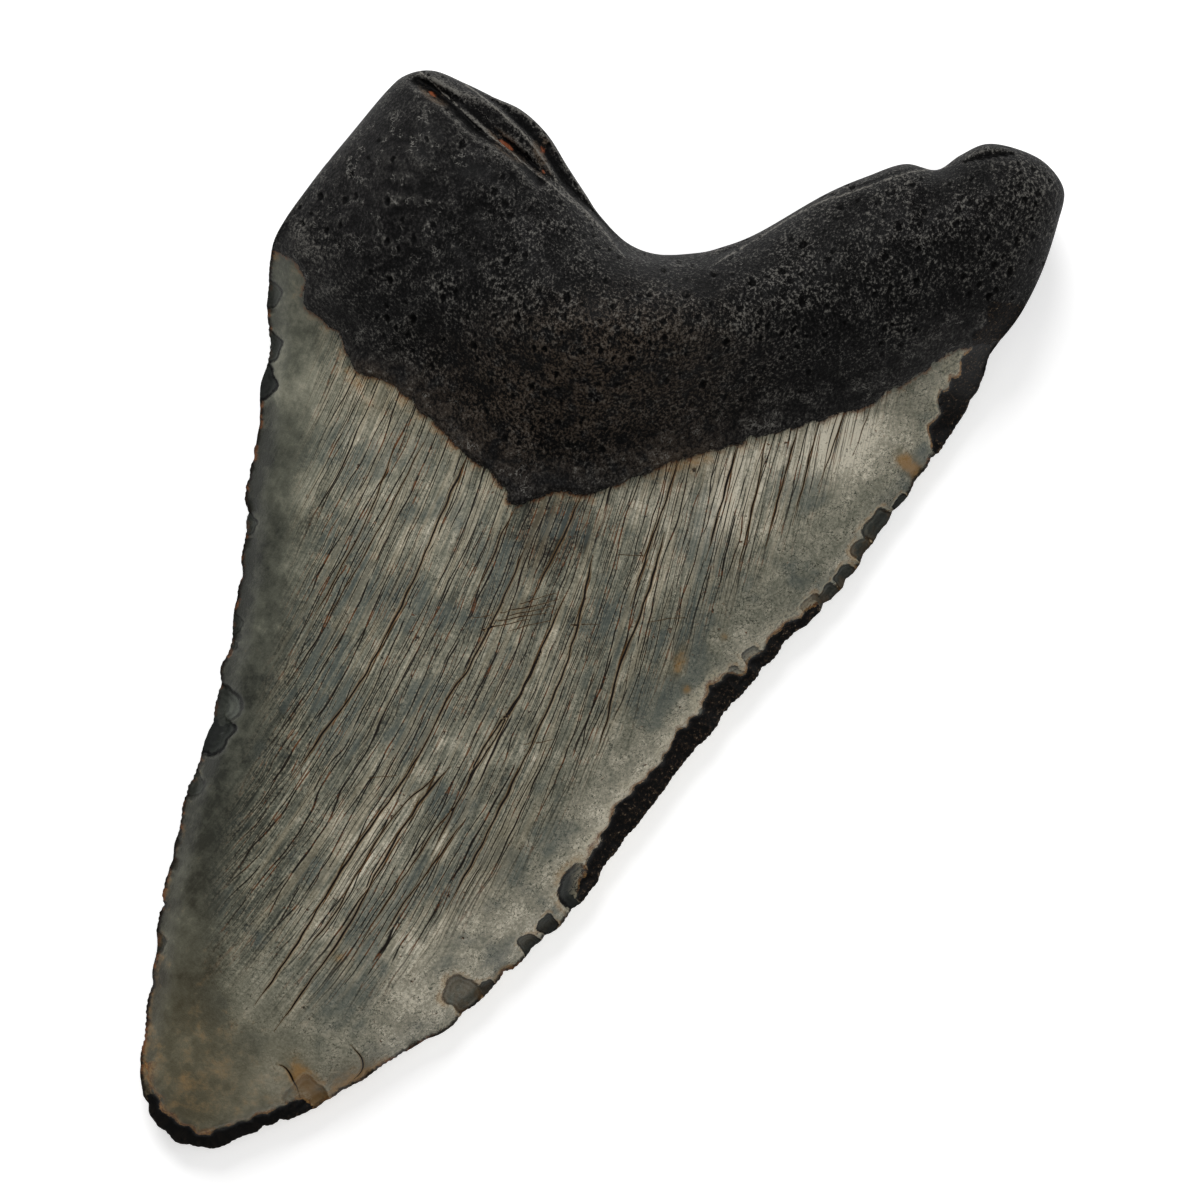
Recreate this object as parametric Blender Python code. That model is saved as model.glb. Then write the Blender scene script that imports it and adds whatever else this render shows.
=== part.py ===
"""A large fossil shark tooth, lying on its flat outer face with its domed inner face up.

The tooth grew as one piece, so it is one solid: a triangular blade, domed like half a lens, and the
thick root with two lobes that it grew from. It is made as two sheets over one plan, an upper and a
lower one, that meet all the way round at the rim. Every height is a formula of the place in the plan.

Frame: +Y runs from the tip to the root, with the ends of both lobes on one level. +Z points out of the
domed face. The origin is on the surface that the tooth lies on, under the middle of its plan.
Sizes are in millimetres, and the mesh is made in metres.
"""

import bpy
import numpy as np
from mathutils import Vector, noise
from mathutils.geometry import delaunay_2d_cdt

MM = 0.001

# Heights above the surface that the tooth lies on
BLADE_RIM_Z = 3.6
ROOT_RIM_Z = 9.5
LOBE_Z = 18.5
BOSS_RISE = 9.5  # of the swelling in the middle of the root, above the lobes

# The blade's dome, above its rim
TIP_DOME = 1.6
BLADE_DOME = 12.0
DOME_LENGTH = 45.0  # how far from the tip the dome has risen by two thirds
DOME_FULLNESS = 0.75  # 1 for a parabola across the blade, less for a fuller section
TIP = (-43.0, -63.5)
TIP_ROUNDING = 3.0

# The root
BOSS_CENTRE = (-2.0, 33.0)
BOSS_RADIUS = 20.0
ROOT_STARTS_Y, ROOT_FULL_Y = 31.0, 46.0  # at the sides, where the rim climbs from the blade to the root
ROOT_ROUNDING = 11.0  # width of the rounded wall
WALL_STARTS = 8.0  # length over which the wall rounds up, from the margin
ROOT_SLOPE = 17.0  # length over which the root climbs from the blade
SLOPE_BLEND = 4.0  # softness of the crest between the slopes above the two arms of the V
ROOT_STEP = 0.7  # the root's lip over the enamel
LIP_WIDTH = 0.5

# The underside
BLADE_UNDERCUT = 14.0  # width of the bevel under the cutting edges
ROOT_UNDERCUT = 9.0
HOLLOW_CENTRE = (3.0, 31.0)
HOLLOW_RADIUS = 11.0
HOLLOW_DEPTH = 1.1

# The plan, anticlockwise from the tip
RIGHT_EDGE = [
    (-37.4, -65.0), (-34.4, -63.0), (-29.8, -60.6), (-22.7, -56.1), (-16.4, -50.9), (-10.9, -46.3),
    (-6.4, -40.7), (-2.2, -35.8), (1.3, -31.4), (4.1, -26.7), (8.5, -18.6), (13.9, -9.8), (18.2, -2.7),
    (22.6, 3.7), (25.8, 7.9), (28.8, 12.3), (31.4, 17.2), (34.2, 22.7), (37.6, 29.0), (41.0, 36.4),
    (41.6, 40.4),
]
RIGHT_LOBE = [
    (44.3, 45.5), (46.2, 50.9), (47.3, 56.8), (47.5, 60.6), (45.1, 63.4), (41.7, 64.7), (37.8, 64.9),
    (34.9, 63.2), (32.3, 61.1), (28.5, 61.3), (24.5, 59.4),
]
NOTCH = [
    (19.6, 56.5), (12.4, 51.0), (8.2, 48.7), (5.4, 47.7), (1.0, 47.0), (-2.7, 47.9), (-6.2, 50.6),
    (-8.3, 53.0),
]
LEFT_LOBE = [
    (-10.7, 55.8), (-13.6, 59.3), (-16.9, 61.7), (-20.3, 62.8), (-23.9, 64.0), (-27.8, 65.0),
    (-30.8, 64.2), (-32.9, 62.1), (-36.6, 56.3), (-39.9, 51.0), (-42.8, 45.6),
]
LEFT_EDGE = [
    (-44.1, 42.0), (-44.3, 36.9), (-43.4, 31.0), (-43.7, 25.8), (-43.2, 20.5), (-43.9, 15.0),
    (-43.5, 9.6), (-43.2, 3.7), (-43.4, -3.5), (-44.0, -8.0), (-44.3, -12.9), (-45.6, -19.7),
    (-46.7, -27.6), (-47.5, -36.7), (-47.6, -46.9), (-47.6, -53.0), (-47.0, -58.2), (-45.2, -62.0),
    (-41.9, -64.6),
]
OUTLINE = RIGHT_EDGE + RIGHT_LOBE + NOTCH + LEFT_LOBE + LEFT_EDGE

# The root's lower margin on the domed face: two arms that meet in a V
LEFT_ARM = [
    (-46.0, 42.5), (-40.0, 39.6), (-39.2, 35.9), (-34.7, 32.8), (-32.0, 28.7), (-28.0, 27.4),
    (-22.2, 23.6), (-18.5, 20.9), (-13.7, 17.9), (-11.4, 15.7),
]
RIGHT_ARM = [
    (-11.4, 15.7), (-7.6, 17.5), (-2.8, 17.9), (3.9, 21.7), (11.9, 25.4), (18.6, 28.2), (27.7, 32.5),
    (33.0, 36.6), (38.5, 41.0), (44.0, 42.0),
]
ENAMEL_MARGIN = LEFT_ARM + RIGHT_ARM[1:]

# Benches cut into the root beside its notch, outwards from each line. Heights are of the bench.
BENCHES = [
    {"line": [(-31.5, 66.0), (-25.2, 61.5), (-21.3, 58.7), (-13.4, 53.7), (-6.2, 49.0), (-3.0, 46.0)],
     "height": 14.4},
    {"line": [(-28.0, 66.0), (-21.5, 62.3), (-15.2, 57.7), (-11.1, 53.1), (-6.8, 49.8), (-4.0, 47.0)],
     "height": 12.0},
    {"line": [(8.0, 46.5), (17.6, 54.3), (23.0, 57.1), (28.9, 60.0), (33.5, 61.5)], "height": 13.2},
]
BENCH_DROP_WIDTH = 0.9
BENCH_REACH = 8.0
BENCHES_START_Y = 45.5
BENCH_UNEVENNESS = 0.25

# The cleft that parts the first bench from the root's face
CLEFT = [(-29.6, 63.6), (-25.4, 61.3), (-21.6, 58.4), (-17.0, 56.2), (-13.6, 53.4)]
CLEFT_DEPTH = 2.4
CLEFT_WIDTH = 1.3

# Flakes broken off the blade's edges, from above: place, radius and depth
FLAKES = [
    (-43.6, 26.3, 2.6, 1.0), (-42.8, 9.4, 1.8, 0.7), (-43.2, -13.6, 3.6, 1.7), (-45.0, -22.0, 2.4, 0.9),
    (-47.4, -41.3, 2.0, 0.7), (32.4, 19.0, 3.0, 1.5), (30.2, 15.4, 2.0, 1.0), (24.4, 6.6, 2.8, 1.3),
    (1.2, -29.8, 3.8, 1.8), (-3.2, -36.4, 2.4, 1.1), (-10.9, -43.6, 3.2, 1.4), (-27.2, -57.4, 3.6, 1.5),
]

# Stretches where the cutting edge is broken away down to a low face: its ends on the rim, and its width
BROKEN_EDGES = [
    {"ends": [(20.5, 1.0), (2.0, -31.5)], "width": 2.6},
    {"ends": [(-25.0, -57.7), (-46.6, -59.0)], "width": 2.2},
    {"ends": [(41.3, 38.5), (34.0, 22.5)], "width": 2.4},
]
BROKEN_FACE_RISE = 0.45  # rise of the low face for each millimetre inwards
BREAK_WIDTH = 0.5  # of the step from that face up to the enamel
BREAK_REACH = 6.0  # how far the rim may lie from the straight line between a stretch's ends
BREAK_TAPER = 0.15  # share of a stretch over which it widens, at each end
LEAST_THICKNESS = 0.15

# Relief of the root's bone
LUMP_SIZE, LUMP_HEIGHT = 8.0, 0.55
GRAIN_SIZE, GRAIN_HEIGHT = 3.2, 0.28

# Mesh spacing
RIM_SPACING = 1.5
BLADE_SPACING = 2.5
ROOT_SPACING = 1.75
UNDERSIDE_SPACING = 3.4
LINE_SPACING = 1.3
LEAST_SPACING = 0.42
WALLS_START_Y = 40.0
WALL_ROWS = (0.12, 0.5, 1.2, 2.3)  # rows of points inside the rim, on the root's walls
EDGE_ROWS = (0.6, 1.5)  # and along the blade's edges
STEP_MARGIN = 0.1  # how far outside a step its two rows of points lie


def smooth(t):
    """0 below 0, 1 above 1, with a soft start and end."""
    t = np.clip(t, 0.0, 1.0)
    return t * t * (3.0 - 2.0 * t)


def rounding(t, sharpness):
    """From 0 at a rim to 1 inside it: a rounded wall at sharpness 0.5, a bevel at 1."""
    t = np.clip(t, 0.0, 1.0)
    return (1.0 - (1.0 - t) ** 2) ** sharpness


def curve_through(points, step, closed=False):
    """Points at about an even step along a smooth curve through the given ones."""
    given = np.array(points, float)
    if closed:
        given = np.vstack([given[-1], given, given[:2]])
    else:
        given = np.vstack([2 * given[0] - given[1], given, 2 * given[-1] - given[-2]])
    t = np.linspace(0, 1, 24, endpoint=False)[:, None]
    pieces = []
    for before, start, end, after in zip(given, given[1:], given[2:], given[3:]):
        bend = 2 * before - 5 * start + 4 * end - after
        twist = 3 * (start - end) + after - before
        pieces.append(0.5 * (2 * start + (end - before) * t + bend * t**2 + twist * t**3))
    fine = np.vstack(pieces + [given[-2:-1]])
    along = np.concatenate([[0], np.cumsum(np.linalg.norm(np.diff(fine, axis=0), axis=1))])
    stations = np.linspace(0, along[-1], max(2, round(along[-1] / step)) + 1)
    if closed:
        stations = stations[:-1]
    return np.stack([np.interp(stations, along, fine[:, axis]) for axis in (0, 1)], axis=1)


def distance_to(points, line, closed=False):
    """Distance of each point to a line of short segments, above 0 on its left and below 0 on its right."""
    start = line if closed else line[:-1]
    end = np.roll(line, -1, axis=0) if closed else line[1:]
    run = end - start
    offset = points[:, None] - start
    share = np.clip((offset * run).sum(2) / (run**2).sum(1), 0, 1)
    gap = np.linalg.norm(offset - share[..., None] * run, axis=2)
    nearest = gap.argmin(1)
    rows = np.arange(len(points))
    cross = run[nearest, 0] * offset[rows, nearest, 1] - run[nearest, 1] * offset[rows, nearest, 0]
    return gap[rows, nearest] * np.where(cross < 0, -1.0, 1.0)


def from_place(points, place):
    return np.linalg.norm(points - np.array(place), axis=1)


def left_normals(line):
    """Unit normals of a closed line, to its left."""
    run = np.roll(line, -1, axis=0) - np.roll(line, 1, axis=0)
    normal = np.stack([-run[:, 1], run[:, 0]], axis=1)
    return normal / np.linalg.norm(normal, axis=1)[:, None]


def relief(points, size):
    """Soft noise of about plus and minus one, over lumps of the given size."""
    return np.array([noise.noise(Vector((x, y, 0.0)) / size) for x, y in points])


def root_share(points):
    """0 beside the blade and 1 beside the root."""
    return smooth((points[:, 1] - ROOT_STARTS_Y) / (ROOT_FULL_Y - ROOT_STARTS_Y))


def rim_z(points):
    return BLADE_RIM_Z + (ROOT_RIM_Z - BLADE_RIM_Z) * root_share(points)


def above_enamel(points):
    """Distance from the enamel's margin, above 0 on the root."""
    return distance_to(points, curve_through(ENAMEL_MARGIN, LINE_SPACING))


def slope_length(points):
    """Distance up the root from the margin's nearer arm, rounded off between the two arms."""
    left = distance_to(points, curve_through(LEFT_ARM, LINE_SPACING))
    right = distance_to(points, curve_through(RIGHT_ARM, LINE_SPACING))
    both = np.exp(-left / SLOPE_BLEND) + np.exp(-right / SLOPE_BLEND)
    return np.maximum(-SLOPE_BLEND * np.log(both), 0)


def broken_width(points, stretch):
    """Width of a broken stretch of edge beside each point: 0 past its ends, and uneven between them."""
    (x0, y0), (x1, y1) = stretch["ends"]
    chord = np.array([(x0, y0), (x1, y1)], float)
    run = chord[1] - chord[0]
    share = ((points - chord[0]) @ run) / (run @ run)
    taper = smooth(share / BREAK_TAPER) * smooth((1 - share) / BREAK_TAPER)
    near = np.abs(distance_to(points, chord)) < BREAK_REACH
    return stretch["width"] * taper * (1 + 0.5 * relief(points + 20.0, 5.0)) * near


def blade_dome(points):
    """Height of the blade's lens over its rim."""
    from_left = np.abs(distance_to(points, curve_through(LEFT_EDGE[::-1] + LEFT_LOBE[:5:-1], 2.0)))
    from_right = np.abs(distance_to(points, curve_through(RIGHT_EDGE + RIGHT_LOBE[:5], 2.0)))
    across = (from_left - from_right) / (from_left + from_right + 1e-6)
    middle = TIP_DOME + BLADE_DOME * (1 - np.exp(-from_place(points, TIP) / DOME_LENGTH))
    return middle * np.clip(1 - across**2, 0, 1) ** DOME_FULLNESS


def upper_z(points, inset):
    """Height of the domed face. Inset is the distance of each point from the rim."""
    rim = rim_z(points)
    blade = rim + blade_dome(points) * rounding(inset / TIP_ROUNDING, 0.8)

    above_margin = above_enamel(points)
    slope = slope_length(points)
    boss = BOSS_RISE * np.exp(-((from_place(points, BOSS_CENTRE) / BOSS_RADIUS) ** 2))
    climb = smooth(slope / ROOT_SLOPE)
    root = blade + (LOBE_Z + boss - blade) * climb + ROOT_STEP * smooth(above_margin / LIP_WIDTH)
    wall = rounding(inset / ROOT_ROUNDING, 0.5)
    wall = 1 - (1 - wall) * smooth(above_margin / WALL_STARTS)
    root = rim + (root - rim) * wall
    height = np.where(above_margin > 0, root, blade)

    bone = smooth(above_margin / 4.0) * smooth(inset / 3.0)
    height += bone * LUMP_HEIGHT * relief(points, LUMP_SIZE)
    height += bone * GRAIN_HEIGHT * relief(points + 50.0, GRAIN_SIZE)
    return height


def cut_benches(points, height, inset):
    """The stepped flanks of the notch, and the cleft behind the first one."""
    for bench in BENCHES:
        outwards = distance_to(points, curve_through(bench["line"], 1.0))
        on_bench = smooth(outwards / BENCH_DROP_WIDTH) * (1 - smooth(outwards - BENCH_REACH))
        level = np.minimum(height, bench["height"] + BENCH_UNEVENNESS * relief(points, GRAIN_SIZE))
        height += (level - height) * on_bench * smooth((points[:, 1] - BENCHES_START_Y) / 5.0)
    near_cleft = np.abs(distance_to(points, curve_through(CLEFT, 1.0)))
    return height - CLEFT_DEPTH * (1 - smooth(near_cleft / CLEFT_WIDTH)) * smooth(inset / 2.0)


def cut_edges(points, height, inset):
    """Flake scars and broken stretches along the blade's edges."""
    for x, y, radius, depth in FLAKES:
        reach = np.clip(from_place(points, (x, y)) / radius, 0, 1)
        height -= depth * np.sqrt(1 - reach**2)
    face = np.minimum(height, rim_z(points) + BROKEN_FACE_RISE * inset)
    for stretch in BROKEN_EDGES:
        width = broken_width(points, stretch)
        kept = np.where(width > 0.3, smooth((inset - width) / BREAK_WIDTH), 1.0)
        height = face + (height - face) * kept
    return height


def lower_z(points, inset):
    """Height of the flat face: level where the tooth rests, and bevelled up to the rim."""
    share = root_share(points)
    width = BLADE_UNDERCUT + (ROOT_UNDERCUT - BLADE_UNDERCUT) * share
    level = rounding(inset / width, 1.0 - 0.5 * share)
    hollow = HOLLOW_DEPTH * (1 - smooth(from_place(points, HOLLOW_CENTRE) / HOLLOW_RADIUS))
    height = rim_z(points) * (1 - level) + hollow
    return np.where(height < 1e-6, 0.0, height)


def grid_inside(rim, spacing, fits):
    """A triangular grid of points inside the rim, at the places where fits is true."""
    low, high = rim.min(0), rim.max(0)
    rows = []
    for i, y in enumerate(np.arange(low[1], high[1], spacing * 0.866)):
        xs = np.arange(low[0] + (i % 2) * spacing / 2, high[0], spacing)
        rows.append(np.stack([xs, np.full(len(xs), y)], axis=1))
    points = np.vstack(rows)
    return points[(distance_to(points, rim, closed=True) > 0.55 * spacing) & fits(points)]


def rows_inside(rim, insets, fits):
    """Rows of points that follow the rim at the given distances inside it."""
    rows = []
    for inset in insets:
        row = rim + left_normals(rim) * inset
        clear = distance_to(row, rim, closed=True) > 0.9 * inset
        rows.append(row[clear & fits(row)])
    return np.vstack(rows)


def rows_along(line, rim, insets):
    """Rows of points beside a feature's line, so that the mesh's edges follow it."""
    fine = curve_through(line, LINE_SPACING)
    run = np.gradient(fine, axis=0)
    side = np.stack([-run[:, 1], run[:, 0]], axis=1) / np.linalg.norm(run, axis=1)[:, None]
    rows = np.vstack([fine + side * inset for inset in insets])
    return rows[distance_to(rows, rim, closed=True) > 0.5]


def rows_at_breaks(rim):
    """Two rows of points at the step inside each broken stretch of edge."""
    rows = []
    for stretch in BROKEN_EDGES:
        width = broken_width(rim, stretch)[:, None]
        for beyond in (-STEP_MARGIN, BREAK_WIDTH + STEP_MARGIN):
            row = rim + left_normals(rim) * (width + beyond)
            rows.append(row[width[:, 0] > 0.5])
    return np.vstack(rows)


def rings_in_flakes(rim):
    """Rings of points in and around each flake scar."""
    rings = []
    for x, y, radius, _ in FLAKES:
        for share in (0.55, 0.93, 1.04):
            count = max(6, round(2 * np.pi * radius * share / 1.1))
            turn = np.arange(count) * 2 * np.pi / count
            rings.append(np.column_stack([x + radius * share * np.cos(turn), y + radius * share * np.sin(turn)]))
    rings = np.vstack(rings)
    return rings[distance_to(rings, rim, closed=True) > 0.4]


def apart(points, spacing):
    """The points, without any that lies closer than the spacing to one kept before it."""
    kept = {}
    for x, y in points:
        cell = (int(np.floor(x / spacing)), int(np.floor(y / spacing)))
        near = [kept[c] for i in (-1, 0, 1) for j in (-1, 0, 1) if (c := (cell[0] + i, cell[1] + j)) in kept]
        if all((x - a) ** 2 + (y - b) ** 2 >= spacing**2 for a, b in near):
            kept[cell] = (x, y)
    return np.array(list(kept.values()))


def plan_points(rim):
    """The plan's points inside the rim, for the upper sheet and for the lower one."""
    on_root = lambda points: points[:, 1] > WALLS_START_Y
    on_blade = lambda points: points[:, 1] <= WALLS_START_Y
    anywhere = lambda points: np.full(len(points), True)
    above = lambda points: above_enamel(points) > LINE_SPACING
    below = lambda points: above_enamel(points) < -LINE_SPACING
    lines = [rows_along(ENAMEL_MARGIN, rim, (-STEP_MARGIN, LIP_WIDTH + STEP_MARGIN))]
    lines += [rows_along(bench["line"], rim, (0.0, BENCH_DROP_WIDTH)) for bench in BENCHES]
    lines += [rows_along(CLEFT, rim, (-0.9,)), rows_at_breaks(rim), rings_in_flakes(rim)]
    walls = [rows_inside(rim, WALL_ROWS, on_root), rows_inside(rim, EDGE_ROWS, on_blade)]
    fills = [grid_inside(rim, ROOT_SPACING, above), grid_inside(rim, BLADE_SPACING, below)]
    near_rim = rows_inside(rim, WALL_ROWS[:2], on_root)
    upper = np.vstack([near_rim, apart(np.vstack(lines + walls + fills), LEAST_SPACING)])
    lower = [walls[0], rows_inside(rim, EDGE_ROWS[1:], on_blade), grid_inside(rim, UNDERSIDE_SPACING, anywhere)]
    return upper, np.vstack(lower)


def sheet(rim, inside):
    """Triangles over the plan, with the rim's points first."""
    points = [Vector(p) for p in np.vstack([rim, inside])]
    found = delaunay_2d_cdt(points, [], [list(range(len(rim)))], 1, 1e-4)
    return np.array([tuple(p) for p in found[0]]), found[2]


def tooth_mesh():
    rim = curve_through(OUTLINE, RIM_SPACING, closed=True)
    upper_plan, lower_plan = plan_points(rim)
    points, faces = sheet(rim, upper_plan)
    inset = np.abs(distance_to(points, rim, closed=True))
    heights = upper_z(points, inset)
    heights = cut_benches(points, heights, inset)
    heights = cut_edges(points, heights, inset)
    floor = lower_z(points, inset)
    heights = np.maximum(heights, np.maximum(floor, rim_z(points)) + LEAST_THICKNESS)
    heights[: len(rim)] = rim_z(rim)

    under, under_faces = sheet(rim, lower_plan)
    under_heights = lower_z(under, np.abs(distance_to(under, rim, closed=True)))
    under_heights[: len(rim)] = rim_z(rim)

    top = np.column_stack([points, heights])
    bottom = np.column_stack([under, under_heights])[len(rim):]
    shift = len(top) - len(rim)
    lower_index = lambda i: i if i < len(rim) else i + shift
    flipped = [[lower_index(i) for i in reversed(face)] for face in under_faces]
    mesh = bpy.data.meshes.new("tooth")
    mesh.from_pydata((np.vstack([top, bottom]) * MM).tolist(), [], [list(f) for f in faces] + flipped)
    mesh.validate()
    return mesh


def bone_and_enamel(mesh):
    """The root's near-black bone, and the blade's grey enamel, by the place of each face."""
    looks = {
        "fossil_bone": ((0.018, 0.016, 0.015, 1.0), 0.55),
        "fossil_enamel": ((0.15, 0.145, 0.11, 1.0), 0.35),
    }
    for name, (colour, roughness) in looks.items():
        material = bpy.data.materials.new(name)
        material.use_nodes = True
        shader = material.node_tree.nodes["Principled BSDF"]
        shader.inputs["Base Color"].default_value = colour
        shader.inputs["Roughness"].default_value = roughness
        shader.inputs["Metallic"].default_value = 0.0
        mesh.materials.append(material)
    centres = np.array([tuple(face.center) for face in mesh.polygons])[:, :2] / MM
    mesh.polygons.foreach_set("material_index", (above_enamel(centres) < 0).astype(np.int32))


def main():
    for thing in list(bpy.data.objects):
        bpy.data.objects.remove(thing)
    collection = bpy.data.collections.new("shark tooth")
    bpy.context.scene.collection.children.link(collection)
    mesh = tooth_mesh()
    bone_and_enamel(mesh)
    mesh.shade_smooth()
    tooth = bpy.data.objects.new("tooth", mesh)
    collection.objects.link(tooth)


main()
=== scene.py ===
"""A large fossil shark tooth, lying on its flat outer face with its domed inner face up.

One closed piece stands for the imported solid, much finer and from mostly the same sizes. It is made as
two sheets over the tooth's plan, an upper and a lower one, which meet at the rim. Long cracks, chips,
scratches and broken stretches of edge are cut into the upper one. A Geometry Nodes tree then adds the
pores of the root and the serrations of the cutting edges. Enamel, bone and broken dentine are one
material, which reads marks kept on the mesh.

Sizes are in millimetres, and the mesh is made in metres. +Y runs from the tip to the root, and +Z out
of the domed face. The grain of the enamel runs down the blade and leans towards the tip.
"""

import math

import bpy
import numpy as np
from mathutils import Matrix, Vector, noise
from mathutils.geometry import delaunay_2d_cdt
from mathutils.kdtree import KDTree


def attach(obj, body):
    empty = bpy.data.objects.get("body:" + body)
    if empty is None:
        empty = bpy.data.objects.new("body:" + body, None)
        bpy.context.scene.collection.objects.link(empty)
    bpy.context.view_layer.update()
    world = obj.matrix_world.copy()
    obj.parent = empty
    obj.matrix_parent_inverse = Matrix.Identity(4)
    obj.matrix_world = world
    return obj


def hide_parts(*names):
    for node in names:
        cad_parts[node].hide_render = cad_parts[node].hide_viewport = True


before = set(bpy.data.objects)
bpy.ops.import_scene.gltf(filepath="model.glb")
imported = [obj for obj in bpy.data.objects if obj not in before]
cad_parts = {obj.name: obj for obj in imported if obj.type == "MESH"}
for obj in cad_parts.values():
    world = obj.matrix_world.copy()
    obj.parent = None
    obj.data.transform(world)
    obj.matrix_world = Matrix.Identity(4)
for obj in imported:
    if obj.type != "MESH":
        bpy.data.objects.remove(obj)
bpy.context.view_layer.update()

MM = 0.001

# ---------------------------------------------------------------- form, mostly as in the solid

BLADE_RIM_Z = 3.6
ROOT_RIM_Z = 9.5
LOBE_Z = 18.5
BOSS_RISE = 9.5

TIP_DOME = 1.6
BLADE_DOME = 12.0
DOME_LENGTH = 45.0
DOME_FULLNESS = 0.75
TIP = (-43.0, -63.5)
TIP_ROUNDING = 3.0

BOSS_CENTRE = (-2.0, 33.0)
BOSS_RADIUS = 20.0
ROOT_STARTS = (31.0, 46.0)  # Y where the root starts, and where it is full
ROOT_ROUNDING = 11.0
WALL_STARTS = 8.0
ROOT_SLOPE = 17.0
SLOPE_BLEND = 4.0
ROOT_STEP = 0.7
LIP_WIDTH = 0.5

BLADE_UNDERCUT = 14.0
ROOT_UNDERCUT = 9.0
HOLLOW_CENTRE = (3.0, 31.0)
HOLLOW_RADIUS = 11.0
HOLLOW_DEPTH = 1.1

RIGHT_EDGE = [
    (-37.4, -65.0), (-34.4, -63.0), (-29.8, -60.6), (-22.7, -56.1), (-16.4, -50.9), (-10.9, -46.3),
    (-6.4, -40.7), (-2.2, -35.8), (1.3, -31.4), (4.1, -26.7), (8.5, -18.6), (13.9, -9.8), (18.2, -2.7),
    (22.6, 3.7), (25.8, 7.9), (28.8, 12.3), (31.4, 17.2), (34.2, 22.7), (37.6, 29.0), (41.0, 36.4),
    (41.6, 40.4),
]
RIGHT_LOBE = [
    (44.3, 45.5), (46.2, 50.9), (47.3, 56.8), (47.5, 60.6), (45.1, 63.4), (41.7, 64.7), (37.8, 64.9),
    (34.9, 63.2), (32.3, 61.1), (28.5, 61.3), (24.5, 59.4),
]
NOTCH = [
    (19.6, 56.5), (12.4, 51.0), (8.2, 48.7), (5.4, 47.7), (1.0, 47.0), (-2.7, 47.9), (-6.2, 50.6),
    (-8.3, 53.0),
]
LEFT_LOBE = [
    (-10.7, 55.8), (-13.6, 59.3), (-16.9, 61.7), (-20.3, 62.8), (-23.9, 64.0), (-27.8, 65.0),
    (-30.8, 64.2), (-32.9, 62.1), (-36.6, 56.3), (-39.9, 51.0), (-42.8, 45.6),
]
LEFT_EDGE = [
    (-44.1, 42.0), (-44.3, 36.9), (-43.4, 31.0), (-43.7, 25.8), (-43.2, 20.5), (-43.9, 15.0),
    (-43.5, 9.6), (-43.2, 3.7), (-43.4, -3.5), (-44.0, -8.0), (-44.3, -12.9), (-45.6, -19.7),
    (-46.7, -27.6), (-47.5, -36.7), (-47.6, -46.9), (-47.6, -53.0), (-47.0, -58.2), (-45.2, -62.0),
    (-41.9, -64.6),
]
OUTLINE = RIGHT_EDGE + RIGHT_LOBE + NOTCH + LEFT_LOBE + LEFT_EDGE

LEFT_ARM = [
    (-46.0, 42.5), (-40.0, 39.6), (-39.2, 35.9), (-34.7, 32.8), (-32.0, 28.7), (-28.0, 27.4),
    (-22.2, 23.6), (-18.5, 20.9), (-13.7, 17.9), (-11.4, 15.7),
]
RIGHT_ARM = [
    (-11.4, 15.7), (-7.6, 17.5), (-2.8, 17.9), (3.9, 21.7), (11.9, 25.4), (18.6, 28.2), (27.7, 32.5),
    (33.0, 36.6), (38.5, 41.0), (44.0, 42.0),
]
ENAMEL_MARGIN = LEFT_ARM + RIGHT_ARM[1:]

# Steps down the flanks of the notch: height, and the line of the top edge
BENCHES = [
    (14.4, [(-31.5, 66.0), (-25.2, 61.5), (-21.3, 58.7), (-13.4, 53.7), (-6.2, 49.0), (-3.0, 46.0)]),
    (12.0, [(-28.0, 66.0), (-21.5, 62.3), (-15.2, 57.7), (-11.1, 53.1), (-6.8, 49.8), (-4.0, 47.0)]),
    (13.2, [(8.0, 46.5), (17.6, 54.3), (23.0, 57.1), (28.9, 60.0), (33.5, 61.5)]),
]
BENCH_DROP_WIDTH = 0.9
BENCH_REACH = 8.0
BENCHES_START = (45.5, 50.5)  # Y where the benches start, and where they are full
BENCH_UNEVENNESS = 0.25
LEDGE_FAR = 5.0  # mark of a point with no bench near it
CLEFT = [(-29.6, 63.6), (-25.4, 61.3), (-21.6, 58.4), (-17.0, 56.2), (-13.6, 53.4)]
CLEFT_DEPTH = 2.4
CLEFT_WIDTH = 1.3

# Chips out of the blade's edges: x, y, radius, depth, and how dark the face inside is painted, as shade
# in the hollow
CHIPS = [
    (-43.8, 36.6, 1.5, 0.5, 0.7), (-43.2, 30.6, 1.6, 0.6, 0.9), (-43.8, 26.3, 2.1, 1.0, 1.0),
    (-43.0, 9.4, 1.2, 0.6, 0.7), (-43.2, -2.6, 1.2, 0.5, 0.5), (-43.4, -5.2, 1.0, 0.5, 0.6),
    (-43.4, -12.6, 2.6, 1.3, 0.6), (-44.0, -15.4, 2.5, 1.8, 1.0), (-45.4, -22.0, 1.4, 0.6, 0.4),
    (-47.4, -41.3, 1.3, 0.6, 0.4), (33.8, 21.6, 1.2, 0.6, 0.9), (31.6, 18.7, 2.0, 1.2, 0.85),
    (29.9, 15.6, 1.5, 0.9, 0.7), (28.2, 12.2, 1.4, 0.8, 0.85), (26.6, 9.7, 1.4, 0.8, 0.85),
    (25.0, 8.2, 1.5, 0.9, 0.7), (18.6, 1.4, 1.3, 0.8, 0.9), (16.8, -1.6, 1.5, 0.8, 0.9),
    (14.2, -6.0, 1.3, 0.8, 0.9), (1.7, -28.6, 2.5, 1.6, 1.0), (-1.5, -33.2, 1.2, 0.9, 0.95),
    (-3.4, -35.6, 1.3, 0.9, 0.9), (-10.6, -42.4, 2.1, 1.2, 0.75), (-7.6, -41.6, 1.0, 0.6, 0.9),
    (-27.2, -57.0, 2.2, 1.2, 0.3),
]
CHIP_RAGGEDNESS = 0.3  # share by which a chip's radius changes round its border
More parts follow.
